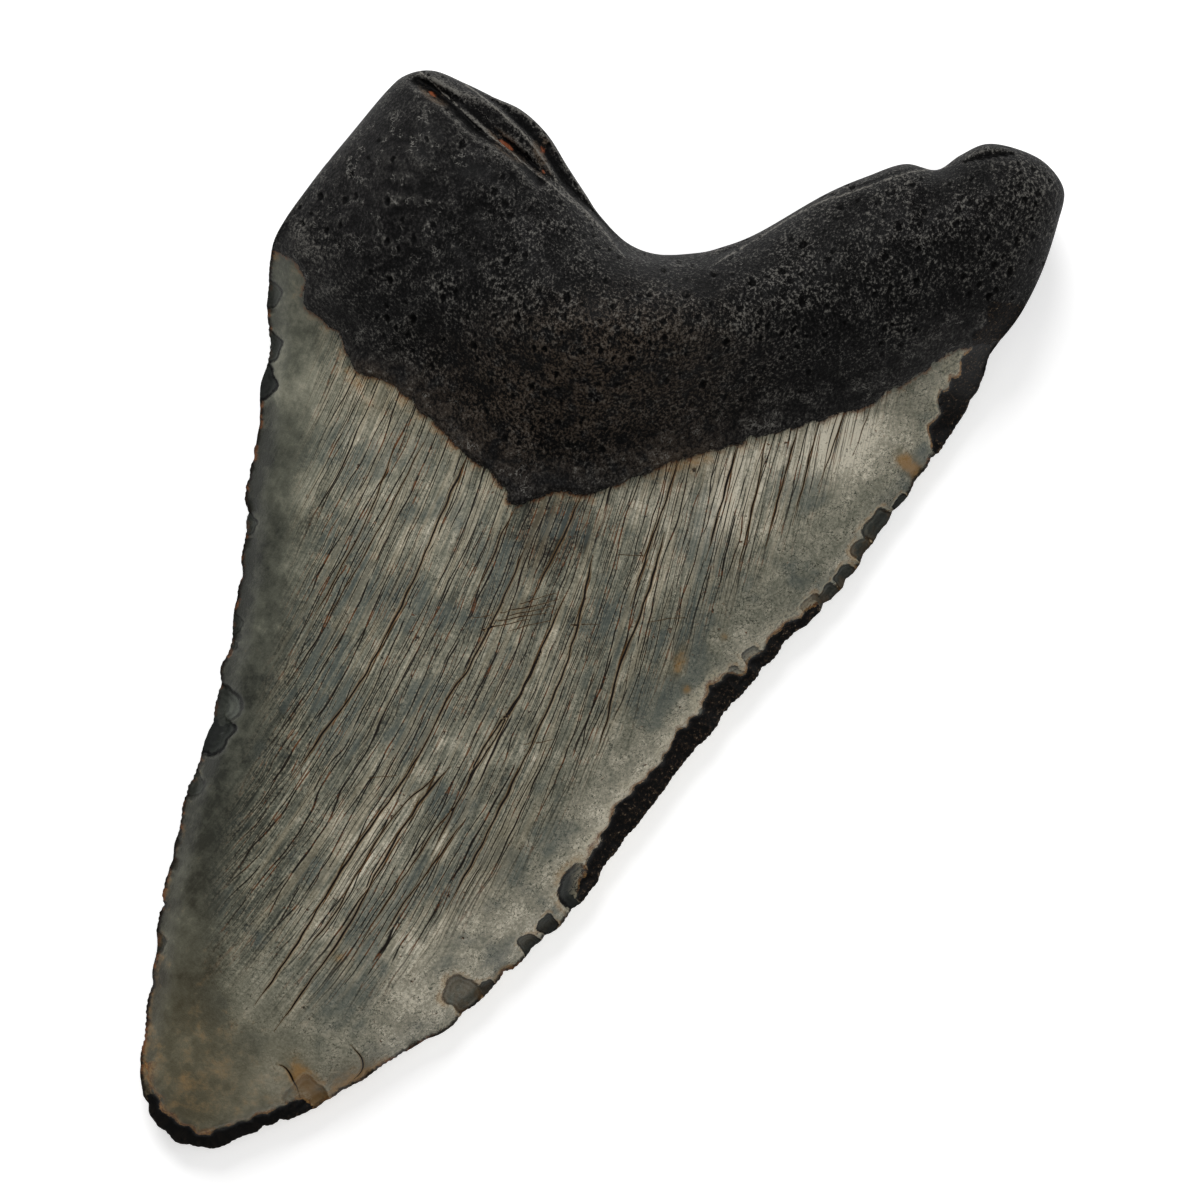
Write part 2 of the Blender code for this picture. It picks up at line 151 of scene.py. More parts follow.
CHIP_WAVES = 1.3  # how quickly it changes
CHIP_TURN = math.radians(56)
CHIP_POWER = 4  # 2 would give round chips, and a high power square ones
CHIP_FAR = 3.0  # mark of a point with no chip near it
# Stretches of edge that are broken away: from, to, and width
BROKEN_EDGES = [
    ((20.5, 1.0), (2.0, -31.5), 2.6), ((26.0, 9.5), (14.0, -7.0), 1.3),
    ((-25.6, -57.5), (-46.8, -61.3), 1.5), ((45.5, 47.0), (35.5, 28.0), 2.9),
]
BROKEN_FACE_RISE = 0.45
BREAK_WIDTH = 0.5
BREAK_REACH = 6.0
BREAK_TAPER = 0.15
BREAK_LUMP_SIZE, BREAK_UNEVENNESS = 5.0, 0.5
BREAK_RAGGED_SIZE, BREAK_RAGGEDNESS = 1.6, 0.35
LEAST_BREAK = 0.3  # a break narrower than this is left out
LEAST_STEPPED = 0.5  # and one narrower than this gets no rows of points of its own
LEAST_THICKNESS = 0.15
THIN_RIM = 0.6  # width inside the rim over which the tooth thins out to nothing
RIM_CALM = 2.0  # width inside the rim over which relief fades in

LUMP_SIZE, LUMP_HEIGHT = 8.0, 0.55
GRAIN_SIZE, GRAIN_HEIGHT = 3.2, 0.28
BONE_FADE, BONE_FADE_INWARDS = 4.0, 3.0  # from the enamel and from the rim to full lumps
# Shifts that give each relief a noise of its own
BREAK_NOISE, MARGIN_NOISE, NOTCH_NOISE, GRAIN_NOISE, CRUMB_NOISE, CRACK_NOISE = 20, 31, 40, 50, 70, 9

# ---------------------------------------------------------------- finer form

# The enamel's margin on the outer face, under the tooth
OUTER_MARGIN = [
    (-48.0, 42.0), (-38.0, 39.5), (-20.0, 35.5), (-2.0, 34.0), (17.0, 35.0), (33.0, 38.5), (46.0, 42.0),
]
# Waves along both margins: their length and height
MARGIN_WAVES = [(5.0, 0.5), (1.6, 0.32)]

# Relief too fine for the solid
ENAMEL_SWELL_SIZE, ENAMEL_SWELL = 6.0, 0.10
GRAIN_RIDGE_WIDTH, GRAIN_RIDGE_LENGTH, GRAIN_RIDGE = 1.7, 14.0, 0.05
BONE_CRUMB_SIZE, BONE_CRUMB = 1.5, 0.11
BREAK_FIBRE_WIDTH, BREAK_FIBRE_LENGTH, BREAK_FIBRE = 0.55, 3.0, 0.14
RIPPLE_SPACING, RIPPLE = 0.55, 0.03  # rings in the flake scars
NICK_LENGTH, NICK_DEPTH, NICK_REACH = 2.2, 0.55, 1.3  # small chips all along the cutting edges
NICK_NOISE, NICK_STARTS, NICK_RISE, NICK_LEAST = 3.0, 0.05, 0.25, 0.4
EDGE_NOTCHES = [(5.0, 0.42), (2.6, 0.12)]  # size of the scallops between them, and depth
NOTCH_SHARPNESS = 0.3

# The long cracks of the enamel: width at the widest, depth, and line from the root down
CRACKS = [
    (0.26, 0.3, [(-18.1, 20.0), (-20.6, 11.6), (-22.6, 4.6), (-26.6, -6.5), (-30.9, -14.5),
        (-33.6, -19.8)]),
    (0.16, 0.12, [(-26.5, 20.9), (-28.4, 12.8), (-31.0, 5.6), (-33.6, -0.8)]),
    (0.16, 0.12, [(-23.3, 21.4), (-26.3, 12.9), (-29.2, 5.6), (-31.5, 0.5)]),
    (0.17, 0.12, [(-11.6, 15.2), (-12.8, 11.8), (-13.7, 8.3), (-15.4, 3.6)]),
    (0.24, 0.25, [(-9.8, 11.0), (-11.3, 5.6), (-14.5, -3.9), (-16.4, -7.5), (-18.8, -14.3),
        (-21.4, -20.0)]),
    (0.18, 0.18, [(-6.4, -1.2), (-8.3, -6.7), (-11.2, -13.5), (-13.6, -19.2)]),
    (0.25, 0.25, [(6.6, 22.9), (5.5, 17.4), (4.2, 10.8), (3.2, 5.5)]),
    (0.3, 0.32, [(6.1, 14.6), (5.2, 8.4), (4.2, 3.3), (2.9, -1.5), (2.3, -7.2), (1.5, -12.2)]),
    (0.32, 0.3, [(13.1, 25.9), (12.8, 22.8), (12.0, 17.4), (11.3, 12.0)]),
    (0.22, 0.2, [(-4.0, 18.0), (-5.5, 12.9), (-7.0, 8.6), (-8.6, 4.0)]),
    (0.28, 0.3, [(-1.9, 10.8), (-2.4, 4.3), (-3.4, -2.5), (-5.2, -9.0), (-7.4, -15.7), (-10.8, -25.4),
        (-13.6, -32.6)]),
    (0.24, 0.25, [(-4.6, 5.6), (-6.4, -0.6), (-8.7, -7.2), (-11.6, -13.0), (-13.4, -18.6),
        (-16.2, -26.4)]),
    (0.3, 0.32, [(-19.5, -16.1), (-21.2, -19.4), (-25.2, -27.1), (-28.1, -33.4), (-31.5, -41.0),
        (-34.5, -46.7)]),
    (0.18, 0.15, [(-17.1, -17.3), (-21.1, -22.5), (-24.6, -29.9), (-26.6, -34.9), (-29.9, -40.5)]),
    (0.26, 0.25, [(-15.4, -15.9), (-18.5, -20.9), (-21.8, -28.2), (-24.7, -35.8), (-29.2, -44.6),
        (-31.9, -49.5)]),
    (0.18, 0.15, [(-13.7, -19.7), (-16.3, -23.8), (-19.0, -29.4), (-22.9, -37.1)]),
    (0.18, 0.15, [(-12.9, -21.9), (-16.0, -27.9), (-18.6, -32.4), (-20.9, -37.8)]),
    (0.2, 0.12, [(16.5, 27.2), (16.0, 19.8), (15.2, 12.2)]),
    (0.2, 0.15, [(19.9, 28.6), (19.1, 22.1), (18.1, 14.7)]),
    (0.16, 0.1, [(22.3, 29.7), (21.7, 24.6), (20.9, 17.4)]),
    (0.16, 0.1, [(25.1, 31.0), (24.3, 26.5), (23.3, 22.2)]),
    (0.16, 0.1, [(28.2, 32.6), (27.6, 29.5), (26.9, 26.5)]),
    (0.32, 0.5, [(-30.8, -53.4), (-30.0, -53.7), (-28.8, -55.4), (-27.7, -57.8)]),
    (0.24, 0.4, [(-22.6, -50.1), (-21.2, -51.6), (-21.2, -53.1), (-22.9, -55.2)]),
]
# Short scratches across the grain: from x, y to x, y
SCRATCHES = [
    (-13.6, 0.6, -8.4, 2.4), (-12.6, 1.6, -6.6, 3.5), (-11.8, 2.2, -6.0, 4.4), (-10.8, 3.2, -5.2, 5.2),
    (-10.4, 0.9, -6.0, 2.6), (-9.6, 4.2, -5.6, 5.9), (-14.8, 1.9, -11.2, 2.9), (1.0, 11.4, 4.3, 11.6),
    (5.6, 4.0, 9.8, 5.1), (-3.4, 2.4, -0.4, 3.0), (-24.6, -18.4, -21.4, -17.6),
    (-7.0, -12.2, -3.8, -11.2),
]
SCRATCH_WIDTH, SCRATCH_DEPTH = 0.13, 0.03
ALL_CRACKS = CRACKS + [(SCRATCH_WIDTH, SCRATCH_DEPTH, [(a, b), (c, d)]) for a, b, c, d in SCRATCHES]
CRACK_ROW = 0.24  # distance of the two rows of points beside a crack's bottom
CRACK_STEP = 0.45
CRACK_WANDER, CRACK_WANDER_SIZE = 0.16, 2.0
CRACK_TAPER = 4.0  # length over which a crack opens, at each end
CRACK_START = 0.3  # how far it has already opened at the root
CRACK_OPENING, CRACK_UNEVENNESS = 0.8, 0.4
CRACK_FAR = 9.0  # mark of a point with no crack near it

# The lean of the grain, in degrees from the tooth's length towards the tip's side, at the origin, and
# its change for each millimetre of X and of Y
GRAIN_LEAN = (12.0, -0.30, -0.18)
LEAST_LEAN, MOST_LEAN = 6.0, 34.0
GRAIN_START_Y = 25.0
GRAIN_TRACE_STEPS = 40

# Where the fine cracks and the etching fade out: distance from the edges and from the tip
CRACKS_FROM_LEFT = (4.5, 10.0)
CRACKS_FROM_RIGHT = (5.5, 12.0)
CRACKS_FROM_TIP = (16.0, 32.0)
ETCHED_FROM_LEFT = (4.0, 12.0)
ETCHED_FROM_TIP = (8.0, 26.0)
# Painted shade: the enamel darkens within this width of the left edge, against the light that the bevel
# there catches.
LEFT_EDGE_SHADE, LEFT_EDGE_SHADE_WIDTH = 0.12, 4.0

# Oval patches, of lighter or darker and of browner enamel and bone: x, y, half-lengths, turn in
# degrees, and strength. The last one is the worn smooth lobe.
LIGHT_PATCHES = [
    (-31.0, 19.0, 7.0, 11.0, 15, 0.22), (-16.0, 14.0, 7.0, 5.0, 30, 0.2),
    (9.0, 18.0, 9.0, 8.0, 0, 0.24), (11.9, 17.6, 1.8, 6.0, -10, 0.34), (25.0, 27.5, 9.5, 5.0, 25, 0.56),
    (29.0, 19.0, 5.0, 9.0, -30, -0.08), (22.0, 13.0, 11.0, 8.0, -20, 0.1),
    (14.0, -4.0, 3.0, 14.0, -32, 0.22), (-12.0, -40.0, 16.0, 9.0, 38, 0.33),
    (4.0, -20.0, 5.0, 14.0, -30, 0.24), (-24.0, -30.0, 3.0, 13.0, -25, 0.14),
    (-32.0, -54.0, 9.0, 5.0, 20, 0.06), (-7.6, 12.8, 4.6, 3.8, 0, -0.95),
    (-8.6, 3.5, 5.0, 1.8, 12, -0.26), (20.0, 5.0, 3.5, 10.0, -30, -0.1),
    (-39.0, -20.0, 8.0, 26.0, 0, -0.24), (-40.1, -42.9, 1.5, 2.2, -20, -0.36),
    (-42.0, 12.0, 5.0, 28.0, 0, -0.32), (-45.0, -32.0, 5.0, 20.0, 0, -0.16),
    (-44.0, -54.0, 6.0, 12.0, 10, -0.22),
]
BROWN_PATCHES = [
    (33.8, 26.4, 1.9, 1.0, -35, 1.3), (-27.4, -56.0, 1.4, 3.2, 30, 1.2),
    (-36.0, -57.0, 14.0, 12.0, 12, 0.4), (-43.5, -45.0, 6.0, 22.0, 5, 0.2),
    (-21.6, -53.8, 3.4, 1.6, 35, 0.75), (9.8, 0.0, 0.8, 2.2, -10, 0.85), (11.1, -3.3, 0.6, 0.6, 0, 0.9),
    (14.7, 3.4, 0.5, 0.5, 0, 0.9), (-30.5, 26.0, 5.0, 3.0, -30, 0.28), (8.0, 22.0, 5.0, 2.5, 20, 0.3),
    (-25.4, -39.9, 0.9, 0.7, 0, 0.8), (0.3, -26.5, 2.4, 1.0, 30, 0.6), (-8.0, -41.8, 1.8, 0.9, 40, 1.1),
    (-5.6, -39.4, 1.1, 0.8, 40, 1.1), (-6.0, 30.0, 22.0, 11.0, 15, 0.35),
    (-27.4, 62.0, 1.6, 0.7, -35, 1.2), (-18.0, 57.0, 2.2, 0.8, -35, 1.2),
    (-13.8, 57.2, 1.2, 0.9, -60, 1.2), (-13.5, 54.7, 0.9, 0.6, -50, 1.2),
]
SMOOTH_LOBE = (-31.0, 52.0, 14.0, 15.0, -30, 1.0)

# Spacing of the mesh's points, and rows of them inside the rim, in chips and across the margin's step
CURVE_SHARES = 24  # parts that a curve is cut into between two given points
RIM_SPACING = 0.2
BLADE_SPACING = 0.46
ROOT_SPACING = 0.315
UNDERSIDE_SPACING = 0.85
LINE_SPACING = 0.5
LEAST_SPACING = 0.13
TRIANGLE_HEIGHT = 0.866  # height of a triangle with equal sides of 1
GRID_FROM_RIM, ROW_FROM_RIM = 0.55, 0.9  # least distances from the rim, as shares
LINES_FROM_CRACKS, GRID_FROM_CRACKS = 1.3, 1.6  # in distances of a crack's rows
WALLS_START_Y = 38.0
WALL_ROWS = (0.03, 0.09, 0.18, 0.32, 0.5, 0.74)
EDGE_ROWS = (0.14, 0.32, 0.55)
STEP_MARGIN = 0.05
CHIP_RINGS = (0.88, 0.97, 1.05)
CHIP_RING_SPACING = 1.5  # of the points in a ring, in steps of the rim
MARGIN_ROWS = (-0.5, -0.05, 0.22, 0.55, 0.9)

PIT_SIZES = (0.45, 1.15)  # least and greatest radius of a pit, as a share of the usual one
PIT_STRETCH = (1.0, 0.62, 1.0)  # pits are longer in Y
SERRATION_PITCH = 0.71
SERRATION_DEPTH = 0.08
SERRATION_REACH = 0.7

# The nets of fine cracks in the material: spacing, half-width, fading and strength
CRACK_NETS = [(2.0, 0.085, 0.34, 1.0), (1.0, 0.065, 0.41, 1.0), (0.44, 0.045, 0.45, 0.85)]
NET_SHIFT = 150.0  # how far along the grain each net lies from the one before it
WANDER, WANDER_STRETCH = 2.6, (0.15, 0.045, 1.0)
FADE_STRETCH = (0.9, 0.085, 1.0)

# Screen colours of each stuff, from its darkest to its lightest
ENAMEL_TINTS = [
    (0.0, (44, 45, 39)), (0.3, (84, 85, 74)), (0.55, (123, 122, 107)), (0.8, (162, 157, 140)),
    (1.0, (208, 201, 182)),
]
BONE_TINTS = [
    (0.15, (3, 3, 3)), (0.38, (11, 11, 11)), (0.5, (25, 24, 24)), (0.66, (50, 49, 47)),
    (0.9, (98, 96, 91)),
]
DENTINE_TINTS = [(0.3, (4, 4, 4)), (0.5, (18, 15, 12)), (0.68, (58, 44, 32)), (0.9, (128, 118, 100))]
# Where plain enamel and plain bone lie between their tints
ENAMEL_LIGHT, BONE_LIGHT = 0.475, 0.32

# Fineness of the patterns that several layers share, in lumps to the millimetre
ETCHING_SCALE, MOTTLE_SCALE, CLOUD_SCALE, CRUMB_SCALE = 2.6, 0.5, 0.13, 3.0

# Finish of enamel and of bone, and heights of the fine relief, in millimetres
ENAMEL_ROUGHNESS, BONE_ROUGHNESS = 0.45, 0.62
ENAMEL_COAT, BONE_COAT, COAT_ROUGHNESS = 0.14, 0.03, 0.32
SPECULAR = 0.06
CRACK_BUMP, STREAK_BUMP, ETCHING_BUMP, CRUMB_BUMP = -0.16, 0.08, 0.10, 0.5

# The stage
FLOOR_SIDE = 4.0
FLOOR_DROP = 0.00002  # keeps the paper and the underside apart
LIGHTS = [
    ("window", (-0.25, 0.7, 0.6), 0.6, 6.8),
    ("reflector", (0.6, 0.2, 0.6), 0.8, 1.5),
    ("overhead", (0.0, -0.1, 1.0), 0.9, 1.5),
]
FLOOR_GLOW = 0.45  # keeps the paper white in the picture without lighting the tooth's upper side
ROOM_LIGHT = 0.22
CAMERA_SENSOR, CAMERA_LENS = 36.0, 200.0
CAMERA_PLACE = (-0.0004, 0.0058, 0.794)
CAMERA_TURN = 7.43


# ---------------------------------------------------------------- small tools


def smooth(t):
    """0 below 0, 1 above 1, with a soft start and end."""
    t = np.clip(t, 0.0, 1.0)
    return t * t * (3.0 - 2.0 * t)


def rise(values, span):
    """0 below a span and 1 above it, with a soft start and end."""
    return smooth((values - span[0]) / (span[1] - span[0]))


def rounding(t, sharpness):
    """From 0 at a rim to 1 inside it: a rounded wall at sharpness 0.5, a bevel at 1."""
    t = np.clip(t, 0.0, 1.0)
    return (1.0 - (1.0 - t) ** 2) ** sharpness


def curve_through(points, step, closed=False):
    """Points at about an even step along a smooth curve through the given ones."""
    given = np.array(points, float)
    if closed:
        given = np.vstack([given[-1], given, given[:2]])
    else:
        given = np.vstack([2 * given[0] - given[1], given, 2 * given[-1] - given[-2]])
    t = np.linspace(0, 1, CURVE_SHARES, endpoint=False)[:, None]
    pieces = []
    for before, start, end, after in zip(given, given[1:], given[2:], given[3:]):
        bend = 2 * before - 5 * start + 4 * end - after
        twist = 3 * (start - end) + after - before
        pieces.append(0.5 * (2 * start + (end - before) * t + bend * t**2 + twist * t**3))
    fine = np.vstack(pieces + [given[-2:-1]])
    along = np.concatenate([[0], np.cumsum(np.linalg.norm(np.diff(fine, axis=0), axis=1))])
    stations = np.linspace(0, along[-1], max(2, round(along[-1] / step)) + 1)
    if closed:
        stations = stations[:-1]
    return np.stack([np.interp(stations, along, fine[:, axis]) for axis in (0, 1)], axis=1)


def nearest_index(points, line):
    """Index of the point of a line that is nearest to each point."""
    tree = KDTree(len(line))
    for i, (x, y) in enumerate(line):
        tree.insert((x, y, 0.0), i)
    tree.balance()
    return np.array([tree.find((x, y, 0.0))[1] for x, y in points])


def nearest_on(points, line, closed=False):
    """Signed distance of each point to a line, above 0 on its left, and how far along the line it is."""
    nearest = nearest_index(points, line)
    run = (np.roll(line, -1, axis=0) if closed else line[1:]) - line[: None if closed else -1]
    length = np.linalg.norm(run, axis=1)
    before = np.concatenate([[0], np.cumsum(length)[:-1]])
    best = np.full(len(points), np.inf)
    signed = np.zeros(len(points))
    station = np.zeros(len(points))
    for back in (0, 1):
        index = (nearest - back) % len(run) if closed else np.clip(nearest - back, 0, len(run) - 1)
        offset = points - line[index]
        share = np.clip((offset * run[index]).sum(1) / length[index] ** 2, 0, 1)
        gap = np.linalg.norm(offset - share[:, None] * run[index], axis=1)
        side = np.where(run[index, 0] * offset[:, 1] - run[index, 1] * offset[:, 0] < 0, -1.0, 1.0)
        nearer = gap < best
        best = np.where(nearer, gap, best)
        signed = np.where(nearer, gap * side, signed)
        station = np.where(nearer, before[index] + share * length[index], station)
    return signed, station


def distance_to(points, line, closed=False):
    return nearest_on(points, line, closed)[0]


def from_place(points, place):
    return np.linalg.norm(points - np.array(place), axis=1)


def turned_left(run):
    """Unit vectors at a right angle to the given ones, to their left."""
    return np.stack([-run[:, 1], run[:, 0]], axis=1) / np.linalg.norm(run, axis=1)[:, None]


def sides(line):
    """The same for an open line: unit normals to its left."""
    return turned_left(np.gradient(line, axis=0))


def left_normals(line):
    """The same for a closed line."""
    return turned_left(np.roll(line, -1, axis=0) - np.roll(line, 1, axis=0))


def relief(points, size, shift=0.0):
    """Soft noise of about plus and minus one, over lumps of the given size. Each shift has its own."""
    return np.array([noise.noise(Vector((x, y, 0.0)) / size) for x, y in points + shift])


def in_patch(points, patch):
    """The patch's strength in its middle, fading softly to 0."""
    x, y, half_length, half_width, degrees, strength = patch
    turn = math.radians(degrees)
    offset = points - np.array([x, y])
    along = offset @ np.array([math.cos(turn), math.sin(turn)])
    across = offset @ np.array([-math.sin(turn), math.cos(turn)])
    return strength * np.exp(-((along / half_length) ** 2) - (across / half_width) ** 2)


# ---------------------------------------------------------------- heights


def root_share(points):
    """0 beside the blade and 1 beside the root."""
    return rise(points[:, 1], ROOT_STARTS)


def rim_z(points):
    return BLADE_RIM_Z + (ROOT_RIM_Z - BLADE_RIM_Z) * root_share(points)


def margin_line(margin):
    """A margin of the enamel, with its small waves."""
    line = curve_through(margin, RIM_SPACING * 1.5)
    waves = sum(height * relief(line, length, MARGIN_NOISE) for length, height in MARGIN_WAVES)
    return line + sides(line) * waves[:, None]


def above_enamel(points):
    """Distance from the enamel's margin, above 0 on the root."""
    return distance_to(points, margin_line(ENAMEL_MARGIN))


def slope_length(points):
    """Distance up the root from the margin's nearer arm, rounded off between the two arms."""
    left = distance_to(points, curve_through(LEFT_ARM, LINE_SPACING))
    right = distance_to(points, curve_through(RIGHT_ARM, LINE_SPACING))
    both = np.exp(-left / SLOPE_BLEND) + np.exp(-right / SLOPE_BLEND)
    return np.maximum(-SLOPE_BLEND * np.log(both), 0)


def broken_width(points, stretch):
    """Width of a broken stretch of edge beside each point: 0 past its ends, and uneven between them."""
    start, end, width = stretch
    chord = np.array([start, end], float)
    run = chord[1] - chord[0]
    share = ((points - chord[0]) @ run) / (run @ run)
    taper = smooth(share / BREAK_TAPER) * smooth((1 - share) / BREAK_TAPER)
    near = np.abs(distance_to(points, chord)) < BREAK_REACH
    uneven = relief(points, BREAK_LUMP_SIZE, BREAK_NOISE)
    return width * taper * (1 + BREAK_UNEVENNESS * uneven) * near


def uneven_rim():
    """The outline, with the notches that wear has left along the blade's edges."""
    line = curve_through(OUTLINE, RIM_SPACING, closed=True)
    depth = np.zeros(len(line))
    for size, height in EDGE_NOTCHES:
        depth += height * np.clip(1 - np.abs(relief(line, size, NOTCH_NOISE)) / NOTCH_SHARPNESS, 0, 1)
    return line + left_normals(line) * (depth * (1 - root_share(line)))[:, None]


def edge_distances(points):
    """Distances to the left and to the right edge of the tooth."""
    left = np.abs(distance_to(points, curve_through(LEFT_EDGE[::-1] + LEFT_LOBE[:5:-1], 2.0)))
    right = np.abs(distance_to(points, curve_through(RIGHT_EDGE + RIGHT_LOBE[:5], 2.0)))
    return left, right


def blade_dome(points):
    """Height of the blade's lens over its rim."""
    from_left, from_right = edge_distances(points)
    across = (from_left - from_right) / (from_left + from_right + 1e-6)
    middle = TIP_DOME + BLADE_DOME * (1 - np.exp(-from_place(points, TIP) / DOME_LENGTH))
    return middle * np.clip(1 - across**2, 0, 1) ** DOME_FULLNESS


def upper_z(points, inset):
    """Height of the domed face. Inset is the distance of each point from the rim."""
    rim = rim_z(points)
    blade = rim + blade_dome(points) * rounding(inset / TIP_ROUNDING, 0.8)

    above_margin = above_enamel(points)
    slope = slope_length(points)
    boss = BOSS_RISE * np.exp(-((from_place(points, BOSS_CENTRE) / BOSS_RADIUS) ** 2))
    climb = smooth(slope / ROOT_SLOPE)
    root = blade + (LOBE_Z + boss - blade) * climb + ROOT_STEP * smooth(above_margin / LIP_WIDTH)
    wall = rounding(inset / ROOT_ROUNDING, 0.5)
    wall = 1 - (1 - wall) * smooth(above_margin / WALL_STARTS)
    root = rim + (root - rim) * wall
    height = np.where(above_margin > 0, root, blade)

    bone = smooth(above_margin / BONE_FADE) * smooth(inset / BONE_FADE_INWARDS)
    height += bone * LUMP_HEIGHT * relief(points, LUMP_SIZE)
    height += bone * GRAIN_HEIGHT * relief(points, GRAIN_SIZE, GRAIN_NOISE)
    return height


def cut_benches(points, height, inset):
    """The stepped flanks of the notch, and the cleft behind the first one."""
    for bench_height, line in BENCHES:
        outwards = distance_to(points, curve_through(line, 1.0))
        on_bench = smooth(outwards / BENCH_DROP_WIDTH) * (1 - smooth(outwards - BENCH_REACH))
        level = np.minimum(height, bench_height + BENCH_UNEVENNESS * relief(points, GRAIN_SIZE))
        height += (level - height) * on_bench * rise(points[:, 1], BENCHES_START)
    near_cleft = np.abs(distance_to(points, curve_through(CLEFT, 1.0)))
    return height - CLEFT_DEPTH * (1 - smooth(near_cleft / CLEFT_WIDTH)) * smooth(inset / RIM_CALM)


def chip_border(chip, ring):
    """How far a chip's border lies from its middle, in each direction of the ring."""
    x, y, radius, _, _ = chip
    cosine, sine = math.cos(CHIP_TURN), math.sin(CHIP_TURN)
    turn = np.array([[cosine, -sine], [sine, cosine]])
    squareness = (np.abs(ring @ turn) ** CHIP_POWER).sum(1) ** (1 / CHIP_POWER)
    ragged = relief(ring * CHIP_WAVES, 1.0, np.array([x, y]))
    return radius * (1 + CHIP_RAGGEDNESS * ragged) / squareness


def chip_reach(points, chip):
    """Distance from the middle of a chip, as a share of the way to its border."""
    offset = points - np.array(chip[:2])
    away = np.linalg.norm(offset, axis=1)
    return away / chip_border(chip, offset / (away[:, None] + 1e-6))


def cut_edges(points, height, inset):
    """Cuts the chips and the broken stretches of edge: the new height, and marks of where they are."""
    nearest = np.full(len(points), CHIP_FAR)
    darkness = np.zeros(len(points))
    for chip in CHIPS:
        _, _, _, depth, dark = chip
        reach = chip_reach(points, chip)
        height -= depth * np.sqrt(1 - np.clip(reach, 0, 1) ** CHIP_POWER)
        darkness[reach < nearest] = dark
        nearest = np.minimum(nearest, reach)
    face = np.minimum(height, rim_z(points) + BROKEN_FACE_RISE * inset)
    broken = np.zeros(len(points))
    inside = np.full(len(points), BREAK_REACH)
    for stretch in BROKEN_EDGES:
        width = broken_width(points, stretch)
        width *= 1 + BREAK_RAGGEDNESS * relief(points, BREAK_RAGGED_SIZE)
        beyond = np.where(width > LEAST_BREAK, inset - width, BREAK_REACH)
        kept = np.maximum(smooth(beyond / BREAK_WIDTH), root_share(points))
        height = face + (height - face) * kept
        broken = np.maximum(broken, 1 - kept)
        inside = np.minimum(inside, beyond)
    return height, broken, {"chip": nearest, "chip_shade": darkness, "beyond_break": inside}


def lower_z(points, inset):
    """Height of the flat face: level where the tooth rests, and bevelled up to the rim."""
    share = root_share(points)
    width = BLADE_UNDERCUT + (ROOT_UNDERCUT - BLADE_UNDERCUT) * share
    level = rounding(inset / width, 1.0 - 0.5 * share)
    hollow = HOLLOW_DEPTH * (1 - smooth(from_place(points, HOLLOW_CENTRE) / HOLLOW_RADIUS))
    return rim_z(points) * (1 - level) + hollow


# ---------------------------------------------------------------- plan of the mesh


def grid_inside(rim, spacing, fits):
    """A triangular grid of points inside the rim, at the places where fits is true."""
    low, high = rim.min(0), rim.max(0)
    rows = []
    for i, y in enumerate(np.arange(low[1], high[1], spacing * TRIANGLE_HEIGHT)):
        xs = np.arange(low[0] + (i % 2) * spacing / 2, high[0], spacing)
        rows.append(np.stack([xs, np.full(len(xs), y)], axis=1))
    points = np.vstack(rows)
    return points[(distance_to(points, rim, closed=True) > GRID_FROM_RIM * spacing) & fits(points)]


def rows_inside(rim, insets, fits):
    """Rows of points that follow the rim at the given distances inside it."""
    rows = []
    for inset in insets:
        row = rim + left_normals(rim) * inset
        row = row[fits(row)]
        rows.append(row[distance_to(row, rim, closed=True) > ROW_FROM_RIM * inset])
    return np.vstack(rows)


def rows_along(line, insets):
    """Rows of points beside a feature's line, so that the mesh's edges follow it."""
    return np.vstack([line + sides(line) * inset for inset in insets])


def apart(points, spacing):
    """The points, without any that lies closer than the spacing to one kept before it."""
    kept = {}
    for x, y in points:
        cell = (int(np.floor(x / spacing)), int(np.floor(y / spacing)))
        around = [(cell[0] + i, cell[1] + j) for i in (-1, 0, 1) for j in (-1, 0, 1)]
        near = [kept[other] for other in around if other in kept]
        if all((x - a) ** 2 + (y - b) ** 2 >= spacing**2 for a, b in near):
            kept[cell] = (x, y)
    return np.array(list(kept.values()))


def clear_of(points, others, reach):
    """The points that lie further than the reach from every one of the others."""
    gap = np.linalg.norm(points - others[nearest_index(points, others)], axis=1)
    return points[gap > reach]


def crack_line(points):
    """A crack's line, with the small wander that a crack has."""
    line = curve_through(points, CRACK_STEP)
    wander = relief(line, CRACK_WANDER_SIZE, CRACK_NOISE) * CRACK_WANDER
    return line + sides(line) * wander[:, None]


def rows_at_cracks():
    """Three rows of points along each crack: its bottom, and its two sides."""
    rows = [rows_along(crack_line(points), (0.0, -CRACK_ROW, CRACK_ROW)) for _, _, points in ALL_CRACKS]
    return np.vstack(rows)


def rows_at_breaks(rim):
    """Rows of points at the step inside each broken stretch of edge."""
    rows = []
    for stretch in BROKEN_EDGES:
        width = broken_width(rim, stretch)[:, None]
        for beyond in (-STEP_MARGIN, BREAK_WIDTH / 2, BREAK_WIDTH + STEP_MARGIN):
            row = rim + left_normals(rim) * (width + beyond)
            rows.append(row[width[:, 0] > LEAST_STEPPED])
    return np.vstack(rows)


def rings_in_chips():
    """Rings of points round the border of each chip."""
    rings = []
    for chip in CHIPS:
        count = round(2 * math.pi * chip[2] / RIM_SPACING / CHIP_RING_SPACING)
        turn = np.arange(count) * 2 * np.pi / count
        ring = np.column_stack([np.cos(turn), np.sin(turn)])
        border = chip_border(chip, ring)[:, None]
        rings += [ring * border * share + np.array(chip[:2]) for share in CHIP_RINGS]
    return np.vstack(rings)


def on_root(points):
    return points[:, 1] > WALLS_START_Y


def on_blade(points):
    return points[:, 1] <= WALLS_START_Y


def on_bone(points):
    return above_enamel(points) > LINE_SPACING


def on_enamel(points):
    return above_enamel(points) < -LINE_SPACING


def anywhere(points):
    return np.full(len(points), True)


